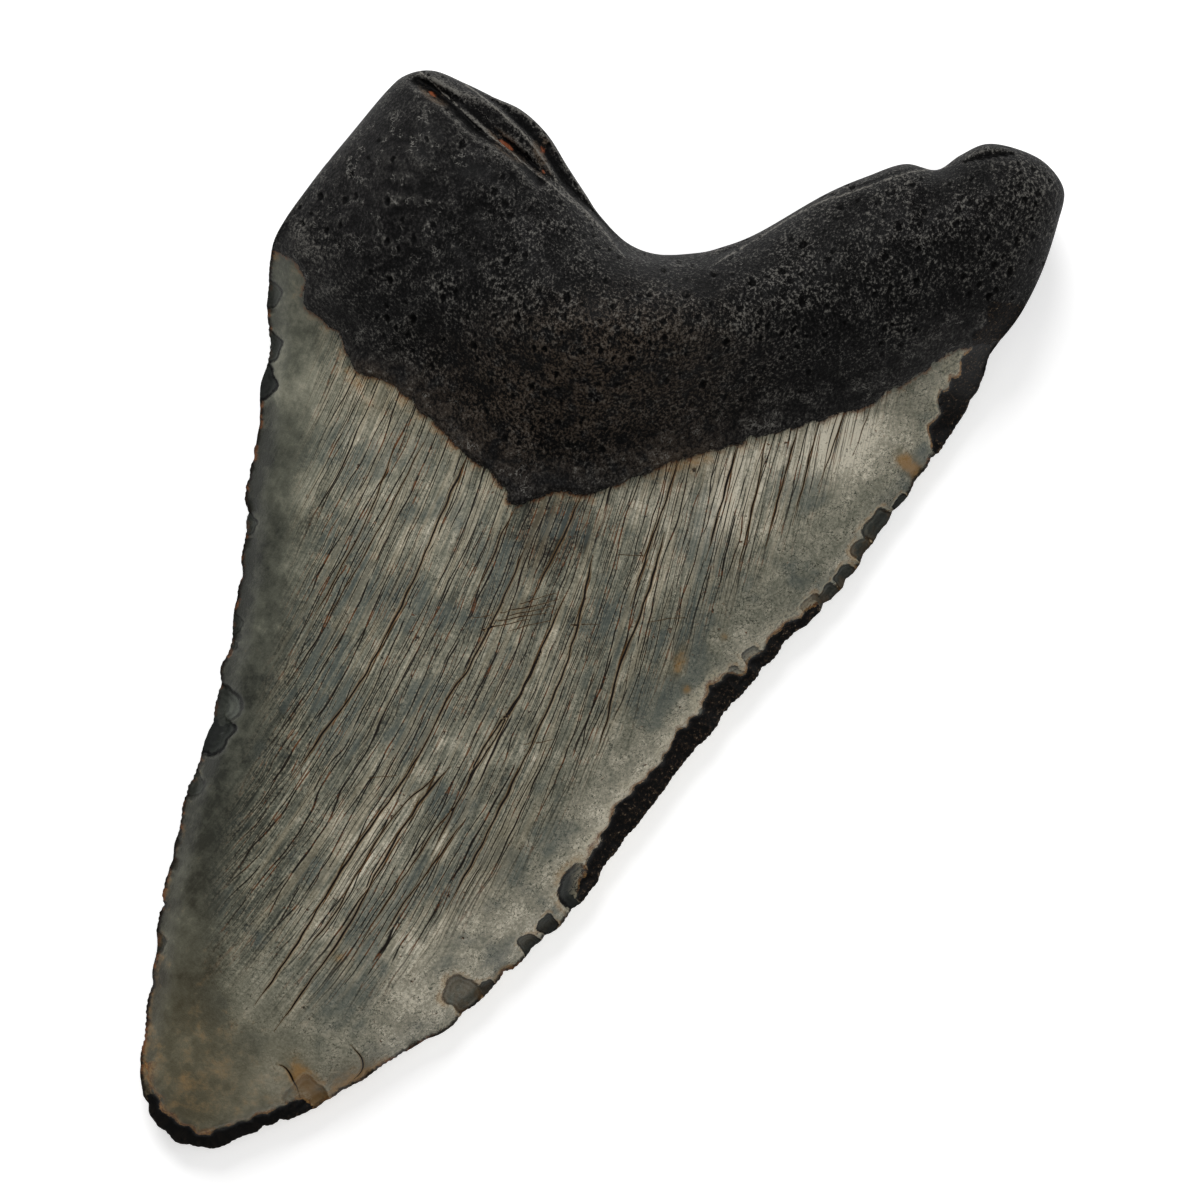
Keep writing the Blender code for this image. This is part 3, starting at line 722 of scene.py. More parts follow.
def rows_at_features(rim):
    """Rows of points along the cracks, and then along whatever else the mesh's edges have to follow."""
    cracks = rows_at_cracks()
    lines = [rows_along(margin_line(ENAMEL_MARGIN), MARGIN_ROWS), rows_at_breaks(rim), rings_in_chips()]
    benches = [curve_through(line, LINE_SPACING) for _, line in BENCHES]
    lines += [rows_along(bench, (0.0, BENCH_DROP_WIDTH)) for bench in benches]
    crisp = np.vstack([cracks, clear_of(np.vstack(lines), cracks, CRACK_ROW * LINES_FROM_CRACKS)])
    return cracks, crisp[distance_to(crisp, rim, closed=True) > RIM_SPACING]


def plan_points(rim):
    """The plan's points inside the rim, for the upper sheet and for the lower one."""
    cracks, crisp = rows_at_features(rim)
    wall = rows_inside(rim, WALL_ROWS, on_root)
    edge = rows_inside(rim, EDGE_ROWS, on_blade)
    fills = [grid_inside(rim, ROOT_SPACING, on_bone), grid_inside(rim, BLADE_SPACING, on_enamel)]
    filling = clear_of(np.vstack(fills), cracks, CRACK_ROW * GRID_FROM_CRACKS)
    filling = clear_of(filling, edge, RIM_SPACING)
    upper = np.vstack([wall, apart(np.vstack([crisp, edge, filling]), LEAST_SPACING)])
    under_edge = rows_inside(rim, EDGE_ROWS[1:], on_blade)
    lower = np.vstack([wall, under_edge, grid_inside(rim, UNDERSIDE_SPACING, anywhere)])
    return upper, lower


def sheet(rim, inside):
    """Triangles over the plan, with the rim's points first."""
    points = [Vector(p) for p in np.vstack([rim, inside])]
    found = delaunay_2d_cdt(points, [], [list(range(len(rim)))], 1, 1e-5)
    return np.array([tuple(p) for p in found[0]]), found[2]


# ---------------------------------------------------------------- marks kept on the mesh


def grain_of(points):
    """Place across and along the enamel's grain, in millimetres, from tracing each point back up it."""
    place = points.copy()
    along = np.zeros(len(points))
    step = (GRAIN_START_Y - points[:, 1]) / GRAIN_TRACE_STEPS
    for _ in range(GRAIN_TRACE_STEPS):
        lean = GRAIN_LEAN[0] + place @ np.array(GRAIN_LEAN[1:])
        slope = np.tan(np.radians(np.clip(lean, LEAST_LEAN, MOST_LEAN)))
        place += np.column_stack([step * slope, step])
        along += step * np.sqrt(1 + slope**2)
    return place[:, 0], along


def crack_marks(points):
    """How far the cracks sink each point, and its distance from the nearest of them in half-widths."""
    sunk = np.zeros(len(points))
    gap = np.full(len(points), CRACK_FAR)
    for width, depth, course in ALL_CRACKS:
        line = crack_line(course)
        near = ((points > line.min(0) - 1) & (points < line.max(0) + 1)).all(1)
        away, station = nearest_on(points[near], line)
        left = CRACK_STEP * (len(line) - 1) - station
        opening = smooth(CRACK_START + station / CRACK_TAPER) * smooth(left / CRACK_TAPER)
        opening *= CRACK_OPENING + CRACK_UNEVENNESS * relief(points[near], CRACK_TAPER)
        half_width = np.maximum(width / 2 * opening, 1e-3)
        gap[near] = np.minimum(gap[near], np.abs(away) / half_width)
        deep = depth * opening * (1 - np.clip(np.abs(away) / CRACK_ROW, 0, 1))
        sunk[near] = np.maximum(sunk[near], deep)
    return sunk, gap


def edge_wear(points, inset, run):
    """Small chips along the cutting edges: how far they lower each point."""
    chips = np.array([noise.noise(Vector((r / NICK_LENGTH, NICK_NOISE, 0.0))) for r in run])
    deep = smooth((chips - NICK_STARTS) / NICK_RISE) * (1 - root_share(points))
    return NICK_DEPTH * deep * (1 - smooth(inset / (NICK_REACH * (NICK_LEAST + deep))))


def from_ledges(points):
    """Signed distance from the top edge of the nearest bench, on the part of the root with benches."""
    nearest = np.full(len(points), LEDGE_FAR)
    for _, line in BENCHES:
        away = distance_to(points, curve_through(line, LINE_SPACING))
        nearest = np.where(np.abs(away) < np.abs(nearest), away, nearest)
    return np.where(points[:, 1] > BENCHES_START[0], nearest, LEDGE_FAR)


def marks_of(points, inset, run):
    """What the material needs to know of each point, apart from how it was cut."""
    across, along = grain_of(points)
    from_left, from_right = edge_distances(points)
    from_tip = from_place(points, TIP)
    crackled = rise(from_left, CRACKS_FROM_LEFT) * rise(from_right, CRACKS_FROM_RIGHT)
    crackled *= rise(from_tip, CRACKS_FROM_TIP)
    etched = rise(from_left, ETCHED_FROM_LEFT) * rise(from_tip, ETCHED_FROM_TIP)
    left_edge_shade = LEFT_EDGE_SHADE * (1 - smooth(from_left / LEFT_EDGE_SHADE_WIDTH))
    return {
        "grain": np.column_stack([across, along, np.zeros(len(points))]),
        "inset": inset,
        "crackled": crackled,
        "etched": etched,
        # The tone: lighter and darker patches, less the painted shade along the left edge.
        "tone": sum(in_patch(points, patch) for patch in LIGHT_PATCHES) - left_edge_shade,
        "brown": sum(in_patch(points, patch) for patch in BROWN_PATCHES),
        "smooth_lobe": in_patch(points, SMOOTH_LOBE),
        "edge_run": run,
        "edge_near": (1 - smooth(inset / SERRATION_REACH)) * (1 - root_share(points)),
    }


def fine_relief(points, height, above, broken, marks):
    """The height with the swells, ridges, crumbs, fibres and rings of the surface added to it."""
    inset, run = marks["inset"], marks["edge_run"]
    enamel = smooth(-above)
    inner = smooth(inset / RIM_CALM)
    height += ENAMEL_SWELL * relief(points, ENAMEL_SWELL_SIZE) * enamel * inner
    stretched = marks["grain"][:, :2] / np.array([GRAIN_RIDGE_WIDTH, GRAIN_RIDGE_LENGTH])
    height += GRAIN_RIDGE * relief(stretched, 1.0) * marks["crackled"] * enamel
    crumbs = relief(points, BONE_CRUMB_SIZE, CRUMB_NOISE)
    height += BONE_CRUMB * crumbs * smooth(above / BONE_FADE_INWARDS) * inner
    fibres = np.column_stack([run / BREAK_FIBRE_WIDTH, inset / BREAK_FIBRE_LENGTH])
    height += BREAK_FIBRE * relief(fibres, 1.0) * broken * smooth(inset / 0.5)
    for chip in CHIPS:
        away = chip_reach(points, chip)
        rings = np.sin(2 * np.pi * away * chip[2] / RIPPLE_SPACING)
        height += RIPPLE * rings * (away < 1) * smooth(inset / THIN_RIM)
    return height


def kept_thick(points, height, inset):
    """The height, but nowhere so low that the tooth would have no thickness."""
    floor = np.maximum(lower_z(points, inset), rim_z(points)) + LEAST_THICKNESS
    inner = smooth(inset / THIN_RIM)
    return np.maximum(height, floor * inner + rim_z(points) * (1 - inner))


def upper_sheet(rim, plan):
    """The domed face: its points, its faces and the marks of each point."""
    points, faces = sheet(rim, plan)
    inset, run = nearest_on(points, rim, closed=True)
    inset = np.abs(inset)
    marks = marks_of(points, inset, run)
    above = above_enamel(points)

    height = upper_z(points, inset)
    height = cut_benches(points, height, inset)
    height, broken, cuts = cut_edges(points, height, inset)
    sunk, gap = crack_marks(points)
    height -= sunk * smooth(-above)
    chipped = edge_wear(points, inset, run)
    height -= chipped
    height = fine_relief(points, height, above, broken, marks)
    height = kept_thick(points, height, inset)
    height[: len(rim)] = rim_z(rim)
    marks |= cuts | {"above": above, "crack": gap, "worn": smooth(2.0 * chipped / NICK_DEPTH)}
    marks["ledge"] = from_ledges(points)
    return np.column_stack([points, height]), faces, marks


def lower_sheet(rim, plan):
    """The flat outer face, in the same way."""
    points, faces = sheet(rim, plan)
    inset, run = nearest_on(points, rim, closed=True)
    inset = np.abs(inset)
    height = lower_z(points, inset)
    height[: len(rim)] = rim_z(rim)
    marks = marks_of(points, inset, run)
    none = np.zeros(len(points))
    marks |= {
        "above": distance_to(points, margin_line(OUTER_MARGIN)), "crack": none + CRACK_FAR, "worn": none,
        "chip": none + CHIP_FAR, "chip_shade": none, "beyond_break": none + BREAK_REACH,
        "ledge": none + LEDGE_FAR,
    }
    return np.column_stack([points, height]), faces, marks


def tooth_mesh():
    """Both sheets, joined at the rim, with their marks as attributes."""
    rim = uneven_rim()
    upper_plan, lower_plan = plan_points(rim)
    top, faces, marks = upper_sheet(rim, upper_plan)
    under, under_faces, under_marks = lower_sheet(rim, lower_plan)
    shift = len(top) - len(rim)
    flipped = [[i + shift * (i >= len(rim)) for i in reversed(face)] for face in under_faces]
    places = np.vstack([top, under[len(rim):]])
    mesh = bpy.data.meshes.new("shark tooth")
    mesh.from_pydata((places * MM).tolist(), [], [list(face) for face in faces] + flipped)

    away = -left_normals(rim)
    marks["outwards"] = np.zeros((len(top), 3))
    marks["outwards"][:, :2] = away[nearest_index(top[:, :2], rim)]
    under_marks["outwards"] = np.zeros((len(under), 3))
    for name, values in marks.items():
        values = np.concatenate([values, under_marks[name][len(rim):]])
        vector = values.ndim == 2
        attribute = mesh.attributes.new(name, "FLOAT_VECTOR" if vector else "FLOAT", "POINT")
        attribute.data.foreach_set("vector" if vector else "value", values.astype(np.float32).ravel())
    mesh.shade_smooth()
    return mesh


# ---------------------------------------------------------------- nodes


class Wiring:
    """Adds nodes to one tree. A value given to a node is a plain one or another node's output."""

    def __init__(self, tree):
        self.tree = tree

    def feed(self, socket, value):
        """Sets an input to a plain value, or links another node's output to it."""
        if isinstance(value, bpy.types.NodeSocket):
            self.tree.links.new(value, socket)
        else:
            socket.default_value = value

    def node(self, kind, inputs=None, **settings):
        """A new node with its inputs fed by name, and its settings set."""
        node = self.tree.nodes.new(kind)
        node.location = (200 * len(self.tree.nodes), 0)
        for name, value in settings.items():
            setattr(node, name, value)
        for name, value in (inputs or {}).items():
            self.feed(node.inputs[name], value)
        return node

    def math(self, operation, *values):
        node = self.node("ShaderNodeMath", operation=operation)
        for socket, value in zip(node.inputs, values):
            self.feed(socket, value)
        return node.outputs[0]

    def times(self, *values):
        """The product of several values."""
        result = values[0]
        for value in values[1:]:
            result = self.math("MULTIPLY", result, value)
        return result

    def scaled(self, value, strength, onto):
        """A value times a strength, added to another value."""
        return self.math("MULTIPLY_ADD", value, strength, onto)

    def around(self, pattern, strength, onto):
        """A pattern from 0 to 1, added to a value so that its middle changes nothing."""
        return self.scaled(self.math("SUBTRACT", pattern, 0.5), strength, onto)

    def vector(self, operation, *values):
        node = self.node("ShaderNodeVectorMath", operation=operation)
        for socket, value in zip(node.inputs, values):
            self.feed(socket, value)
        return node.outputs["Value" if operation in ("LENGTH", "DISTANCE") else "Vector"]

    def span(self, value, low, high, start=0.0, end=1.0):
        """From start to end, softly, as the value goes from low to high."""
        inputs = {"Value": value, "From Min": low, "From Max": high, "To Min": start, "To Max": end}
        return self.node("ShaderNodeMapRange", inputs, interpolation_type="SMOOTHSTEP").outputs["Result"]

    def fall(self, value, low, high, start=1.0):
        """From start to 0, softly, as the value goes from low to high."""
        return self.span(value, low, high, start, 0.0)

    def stripe(self, value, low, top, end, high):
        """1 from top to end, and 0 below low and above high."""
        return self.times(self.span(value, low, top), self.fall(value, end, high))

    def attribute(self, name):
        """One of the mesh's marks, in a material."""
        return self.node("ShaderNodeAttribute", attribute_name=name).outputs["Fac"]

    def mark(self, name, kind="FLOAT"):
        """One of the mesh's marks, in a Geometry Nodes tree."""
        node = self.node("GeometryNodeInputNamedAttribute", {"Name": name}, data_type=kind)
        return node.outputs["Attribute"]

    def stored(self, geometry, name, value):
        """The geometry with a value kept on its points."""
        inputs = {"Geometry": geometry, "Name": name}
        node = self.node("GeometryNodeStoreNamedAttribute", inputs, data_type="FLOAT", domain="POINT")
        self.feed(node.inputs["Value"], value)
        return node.outputs["Geometry"]

    def shift(self, geometry, direction, amount):
        """The geometry with its points moved along a direction."""
        offset = self.node("ShaderNodeVectorMath", {0: direction}, operation="SCALE")
        self.feed(offset.inputs["Scale"], amount)
        inputs = {"Geometry": geometry, "Offset": offset.outputs[0]}
        return self.node("GeometryNodeSetPosition", inputs).outputs["Geometry"]

    def use(self, kind, group, **inputs):
        """A node group, with its inputs by name and _ for a space. The only output, or else the node."""
        node = self.node(kind + "NodeGroup", node_tree=group)
        for name, value in inputs.items():
            self.feed(node.inputs[name.replace("_", " ")], value)
        return node if len(node.outputs) > 1 else node.outputs[0]

    def noise(self, place, scale, detail=2.0, roughness=0.5, space="3D"):
        inputs = {"Vector": place, "Scale": scale, "Detail": detail, "Roughness": roughness}
        return self.node("ShaderNodeTexNoise", inputs, noise_dimensions=space).outputs["Fac"]

    def blend(self, share, under, over, how="MIX"):
        """One colour over another."""
        node = self.node("ShaderNodeMix", data_type="RGBA", blend_type=how, clamp_factor=True)
        for socket, value in zip((node.inputs[0], node.inputs[6], node.inputs[7]), (share, under, over)):
            self.feed(socket, value)
        return node.outputs[2]

    def ramp(self, value, stops):
        """A colour for each value, from the given places and screen colours."""
        node = self.node("ShaderNodeValToRGB", {"Fac": value})
        line = node.color_ramp.elements
        while len(line) < len(stops):
            line.new(0.5)
        for element, (place, tint) in zip(line, stops):
            element.position = place
            element.color = paint(*tint)
        return node.outputs["Color"]


def paint(red, green, blue):
    """A colour from its three values on a screen, 0 to 255."""
    shares = [value / 255 for value in (red, green, blue)]
    return [s / 12.92 if s <= 0.04045 else ((s + 0.055) / 1.055) ** 2.4 for s in shares] + [1.0]


OCHRE = paint(146, 110, 62)
TAN = paint(150, 134, 106)
LIP = paint(176, 168, 144)
BLUE_GREY = paint(86, 95, 92)
OLIVE = paint(98, 84, 54)
RUST = paint(98, 60, 34)
# Painted shade in the chips and in the nicks along the cutting edges.
CHIP_SHADE = paint(26, 28, 27)
CHIP_GREY = paint(92, 96, 88)
DEPOSIT = paint(134, 74, 46)
# Painted highlight along the top edges of the benches.
LEDGE_HIGHLIGHT = paint(124, 121, 114)
SCUFF_GREY = paint(138, 136, 130)
BROWN_BONE = paint(88, 74, 60)
# Dark dirt of the cracks and dots, also used for the painted shade along the enamel's rim.
DIRT_AND_RIM_SHADE = paint(20, 14, 9)
# Black for the painted shade in pores and at chip walls, and for the darkest bone stain.
SHADE_AND_STAIN_BLACK = paint(5, 5, 5)


def new_group(name, kind, inputs, outputs):
    """An empty node group with named sockets, the wiring for it, and its two ends."""
    group = bpy.data.node_groups.new(name, kind)
    for in_out, sockets in (("INPUT", inputs), ("OUTPUT", outputs)):
        for label, socket_type, value in sockets:
            socket_type = "NodeSocket" + socket_type
            socket = group.interface.new_socket(label, in_out=in_out, socket_type=socket_type)
            if value is not None:
                socket.default_value = value
    start, end = group.nodes.new("NodeGroupInput"), group.nodes.new("NodeGroupOutput")
    return group, Wiring(group), start.outputs, end.inputs


# ---------------------------------------------------------------- pores and serrations


def pits_group():
    """Sinks pits into the bone: each vertex is lowered by the nearest of the points spread over it."""
    group, w, given, out = new_group(
        "pits", "GeometryNodeTree",
        [("Geometry", "Geometry", None), ("Spacing", "Float", 0.0012), ("Radius", "Float", 0.0004),
         ("Depth", "Float", 0.0003), ("Start", "Float", 4.0), ("Seed", "Int", 1)],
        [("Geometry", "Geometry", None), ("Pit", "Float", None)],
    )
    place = w.node("GeometryNodeInputPosition").outputs["Position"]
    crowded = w.span(w.noise(place, 110.0, 1.0), 0.38, 0.6, 0.25, 1.0)
    calm = w.span(w.mark("smooth_lobe"), 0.2, 0.9, 1.0, 0.25)
    past_start = w.span(w.mark("above"), given["Start"], w.math("ADD", given["Start"], 2.0))
    spread = w.node("GeometryNodeDistributePointsOnFaces", {
        "Mesh": given["Geometry"], "Distance Min": given["Spacing"],
        "Density Max": w.math("DIVIDE", 1.0, w.math("POWER", given["Spacing"], 2.0)),
        "Density Factor": w.times(past_start, w.times(crowded, calm)), "Seed": given["Seed"],
    }, distribute_method="POISSON").outputs["Points"]
    nearest = w.node("GeometryNodeSampleNearest", {"Geometry": spread}, domain="POINT").outputs["Index"]
    inputs = {"Geometry": spread, "Index": nearest}
    centre = w.node("GeometryNodeSampleIndex", inputs, data_type="FLOAT_VECTOR")
    w.feed(centre.inputs["Value"], place)
    size = w.node("FunctionNodeRandomValue", {"ID": nearest, "Seed": 3}, data_type="FLOAT")
    size.inputs[2].default_value, size.inputs[3].default_value = PIT_SIZES
    offset = w.vector("MULTIPLY", w.vector("SUBTRACT", place, centre.outputs["Value"]), PIT_STRETCH)
    wobble = w.span(w.noise(place, 1500.0, 1.0), 0.25, 0.75, 0.75, 1.3)
    reach = w.times(given["Radius"], size.outputs[1], wobble)
    pit = w.fall(w.math("DIVIDE", w.vector("LENGTH", offset), reach), 0.35, 1.1)
    kept = w.node("GeometryNodeCaptureAttribute", {"Geometry": given["Geometry"]})
    kept.capture_items.new("FLOAT", "Pit")
    w.feed(kept.inputs["Pit"], pit)
    normal = w.node("GeometryNodeInputNormal").outputs["Normal"]
    depth = w.times(pit, given["Depth"], -1.0)
    w.feed(out["Geometry"], w.shift(kept.outputs["Geometry"], normal, depth))
    w.feed(out["Pit"], kept.outputs["Pit"])
    return group


def surface_tree():
    """The tooth's pores, at two sizes, and the serrations along its cutting edges."""
    group, w, given, out = new_group(
        "tooth surface", "GeometryNodeTree",
        [("Geometry", "Geometry", None), ("Pore Spacing", "Float", 0.0015),
         ("Pore Radius", "Float", 0.00032), ("Pore Depth", "Float", 0.00026),
         ("Hole Spacing", "Float", 0.0034), ("Hole Radius", "Float", 0.00042),
         ("Hole Depth", "Float", 0.00045), ("Bone Starts", "Float", 3.5), ("Seed", "Int", 11),
         ("Serration Pitch", "Float", 0.71), ("Serration Depth", "Float", 0.00013),
         ("Material", "Material", None)],
        [("Geometry", "Geometry", None)],
    )
    pits = pits_group()
    geometry = given["Geometry"]
    for kind, seed in (("Pore", 0.0), ("Hole", 1.0)):
        sizes = {size: given[kind + " " + size] for size in ("Spacing", "Radius", "Depth")}
        made = w.use("Geometry", pits, Geometry=geometry, Start=given["Bone Starts"],
                     Seed=w.math("ADD", given["Seed"], seed), **sizes)
        deepest = w.math("MAXIMUM", w.mark("pore"), made.outputs["Pit"])
        geometry = w.stored(made.outputs["Geometry"], "pore", deepest)

    turn = w.times(w.math("DIVIDE", w.mark("edge_run"), given["Serration Pitch"]), 2 * math.pi)
    wave = w.times(w.math("ADD", w.math("COSINE", turn), -1.0), 0.5)
    place = w.node("GeometryNodeInputPosition").outputs["Position"]
    worn = w.span(w.noise(place, 160.0, 2.0), 0.35, 0.65, 0.15, 1.4)
    cut = w.times(w.times(wave, w.mark("edge_near")), w.times(worn, given["Serration Depth"]))
    moved = w.shift(geometry, w.mark("outwards", "FLOAT_VECTOR"), cut)
    real = w.node("GeometryNodeRealizeInstances", {"Geometry": moved}).outputs["Geometry"]
    dressed = w.node("GeometryNodeSetMaterial", {"Geometry": real, "Material": given["Material"]})
    w.feed(out["Geometry"], dressed.outputs["Geometry"])
    return group


def surfaced(mesh, material):
    """The tooth's mesh with its pores and serrations, as a plain mesh."""
    blank = placed("blank", mesh)
    modifier = blank.modifiers.new("tooth surface", "NODES")
    modifier.node_group = surface_tree()
    items = modifier.node_group.interface.items_tree
    sockets = {item.name: item.identifier for item in items if item.in_out == "INPUT"}
    modifier[sockets["Material"]] = material
    modifier[sockets["Serration Pitch"]] = SERRATION_PITCH
    modifier[sockets["Serration Depth"]] = SERRATION_DEPTH * MM
    made = blank.evaluated_get(bpy.context.evaluated_depsgraph_get())
    result = bpy.data.meshes.new_from_object(made)
    bpy.data.objects.remove(blank)
    mark_exposed(result)
    return result


def mark_exposed(mesh):
    """Marks each vertex with how much it stands out (above 0) or lies in a hollow (below 0), which the
    material turns into painted highlights and painted shade.
    """
    places = np.zeros(len(mesh.vertices) * 3)
    normals = np.zeros(len(mesh.vertices) * 3)
    edges = np.zeros(len(mesh.edges) * 2, np.int32)
    mesh.vertices.foreach_get("co", places)
    mesh.vertices.foreach_get("normal", normals)
    mesh.edges.foreach_get("vertices", edges)
    places, normals, edges = places.reshape(-1, 3), normals.reshape(-1, 3), edges.reshape(-1, 2)
    run = places[edges[:, 1]] - places[edges[:, 0]]
    run /= np.linalg.norm(run, axis=1)[:, None] + 1e-12
    count = np.bincount(edges.ravel(), minlength=len(places))
    standing = np.zeros(len(places))
    np.add.at(standing, edges[:, 0], -(run * normals[edges[:, 0]]).sum(1))
    np.add.at(standing, edges[:, 1], (run * normals[edges[:, 1]]).sum(1))
    standing /= count
    around = np.zeros(len(places))
    np.add.at(around, edges[:, 0], standing[edges[:, 1]])
    np.add.at(around, edges[:, 1], standing[edges[:, 0]])
    standing = 0.5 * standing + 0.5 * around / count
    exposed = mesh.attributes.new("exposed", "FLOAT", "POINT")
    exposed.data.foreach_set("value", standing.astype(np.float32))


# ---------------------------------------------------------------- materials


def crack_net_group():
    """Thin cracks along the grain: each one wanders, and fades out here and there."""
    group, w, given, out = new_group(
        "crack net", "ShaderNodeTree",
        [("Grain", "Vector", None), ("Spacing", "Float", 1.2), ("Half Width", "Float", 0.06),
         ("Fading", "Float", 0.5), ("Shift", "Float", 0.0)],
        [("Cracks", "Float", None), ("Lips", "Float", None)],
    )
    shift = w.node("ShaderNodeCombineXYZ", {"Y": given["Shift"]}).outputs["Vector"]
    moved = w.vector("ADD", given["Grain"], shift)
    wander = w.noise(w.vector("MULTIPLY", moved, WANDER_STRETCH), 1.0, 3.0, 0.5, "2D")
    across = w.node("ShaderNodeSeparateXYZ", {"Vector": given["Grain"]}).outputs["X"]
    place = w.math("DIVIDE", w.scaled(wander, WANDER, across), given["Spacing"])
    settings = {"voronoi_dimensions": "1D", "feature": "DISTANCE_TO_EDGE"}
    lines = w.node("ShaderNodeTexVoronoi", {"W": place, "Scale": 1.0}, **settings)
    fade = w.noise(w.vector("MULTIPLY", moved, FADE_STRETCH), 1.0, 2.0, 0.6, "2D")
    held = w.span(fade, given["Fading"], w.math("ADD", given["Fading"], 0.08))
    width = w.times(given["Half Width"], w.scaled(held, 0.7, 0.4))
    gap = w.math("DIVIDE", w.times(lines.outputs["Distance"], given["Spacing"]), width)
    w.feed(out["Cracks"], w.times(w.fall(gap, 0.4, 1.2), held))
    # A band beside each crack, for a painted highlight on its lit side.
    w.feed(out["Lips"], w.times(w.fall(gap, 1.2, 3.6), held))
    return group


def streak_group():
    """Soft streaks along the grain, from 0 to 1."""
    group, w, given, out = new_group(
        "grain streaks", "ShaderNodeTree",
        [("Grain", "Vector", None), ("Width", "Float", 0.5), ("Length", "Float", 12.0)],
        [("Streaks", "Float", None)],
    )
    shares = {"X": w.math("DIVIDE", 1.0, given["Width"]), "Y": w.math("DIVIDE", 1.0, given["Length"])}
    stretch = w.node("ShaderNodeCombineXYZ", shares).outputs["Vector"]
    w.feed(out["Streaks"], w.noise(w.vector("MULTIPLY", given["Grain"], stretch), 1.0, 3.0, 0.6, "2D"))
    return group


def speck_group():
    """Small ragged marks, at a share of evenly spread places."""
    group, w, given, out = new_group(
        "specks", "ShaderNodeTree",
        [("Place", "Vector", None), ("Spacing", "Float", 1.5), ("Size", "Float", 0.25),
         ("Share", "Float", 0.4)],
        [("Specks", "Float", None)],
    )
    inputs = {"Vector": given["Place"], "Scale": 1.9, "Detail": 0.0}
    ragged = w.node("ShaderNodeTexNoise", inputs).outputs["Color"]
    place = w.vector("ADD", given["Place"], w.vector("MULTIPLY", ragged, (0.9, 0.9, 0.9)))
    spacing = w.node("ShaderNodeCombineXYZ", {axis: given["Spacing"] for axis in "XYZ"})
    inputs = {"Vector": w.vector("DIVIDE", place, spacing.outputs["Vector"]), "Scale": 1.0}
    cells = w.node("ShaderNodeTexVoronoi", inputs, feature="F1")
    pick = w.node("ShaderNodeSeparateColor", {"Color": cells.outputs["Color"]})
    size = w.times(given["Size"], w.math("ADD", 0.4, pick.outputs["Green"]))
    gap = w.times(cells.outputs["Distance"], given["Spacing"])
    mark = w.fall(w.math("DIVIDE", gap, size), 0.55, 1.0)
    w.feed(out["Specks"], w.times(mark, w.math("LESS_THAN", pick.outputs["Red"], given["Share"])))
    return group


def scribble_group():
    """Short thin curls, as acid leaves them: 1 on a curl and 0 beside it."""
    group, w, given, out = new_group(
        "scribbles", "ShaderNodeTree",
        [("Place", "Vector", None), ("Size", "Float", 0.8), ("Half Width", "Float", 0.02)],
        [("Scribbles", "Float", None)],
    )
    curls = w.noise(given["Place"], w.math("DIVIDE", 1.0, given["Size"]), 2.0, 0.62)
    aside = w.math("ABSOLUTE", w.math("SUBTRACT", curls, 0.5))
    w.feed(out["Scribbles"], w.fall(w.math("DIVIDE", aside, given["Half Width"]), 0.3, 1.3))
    return group


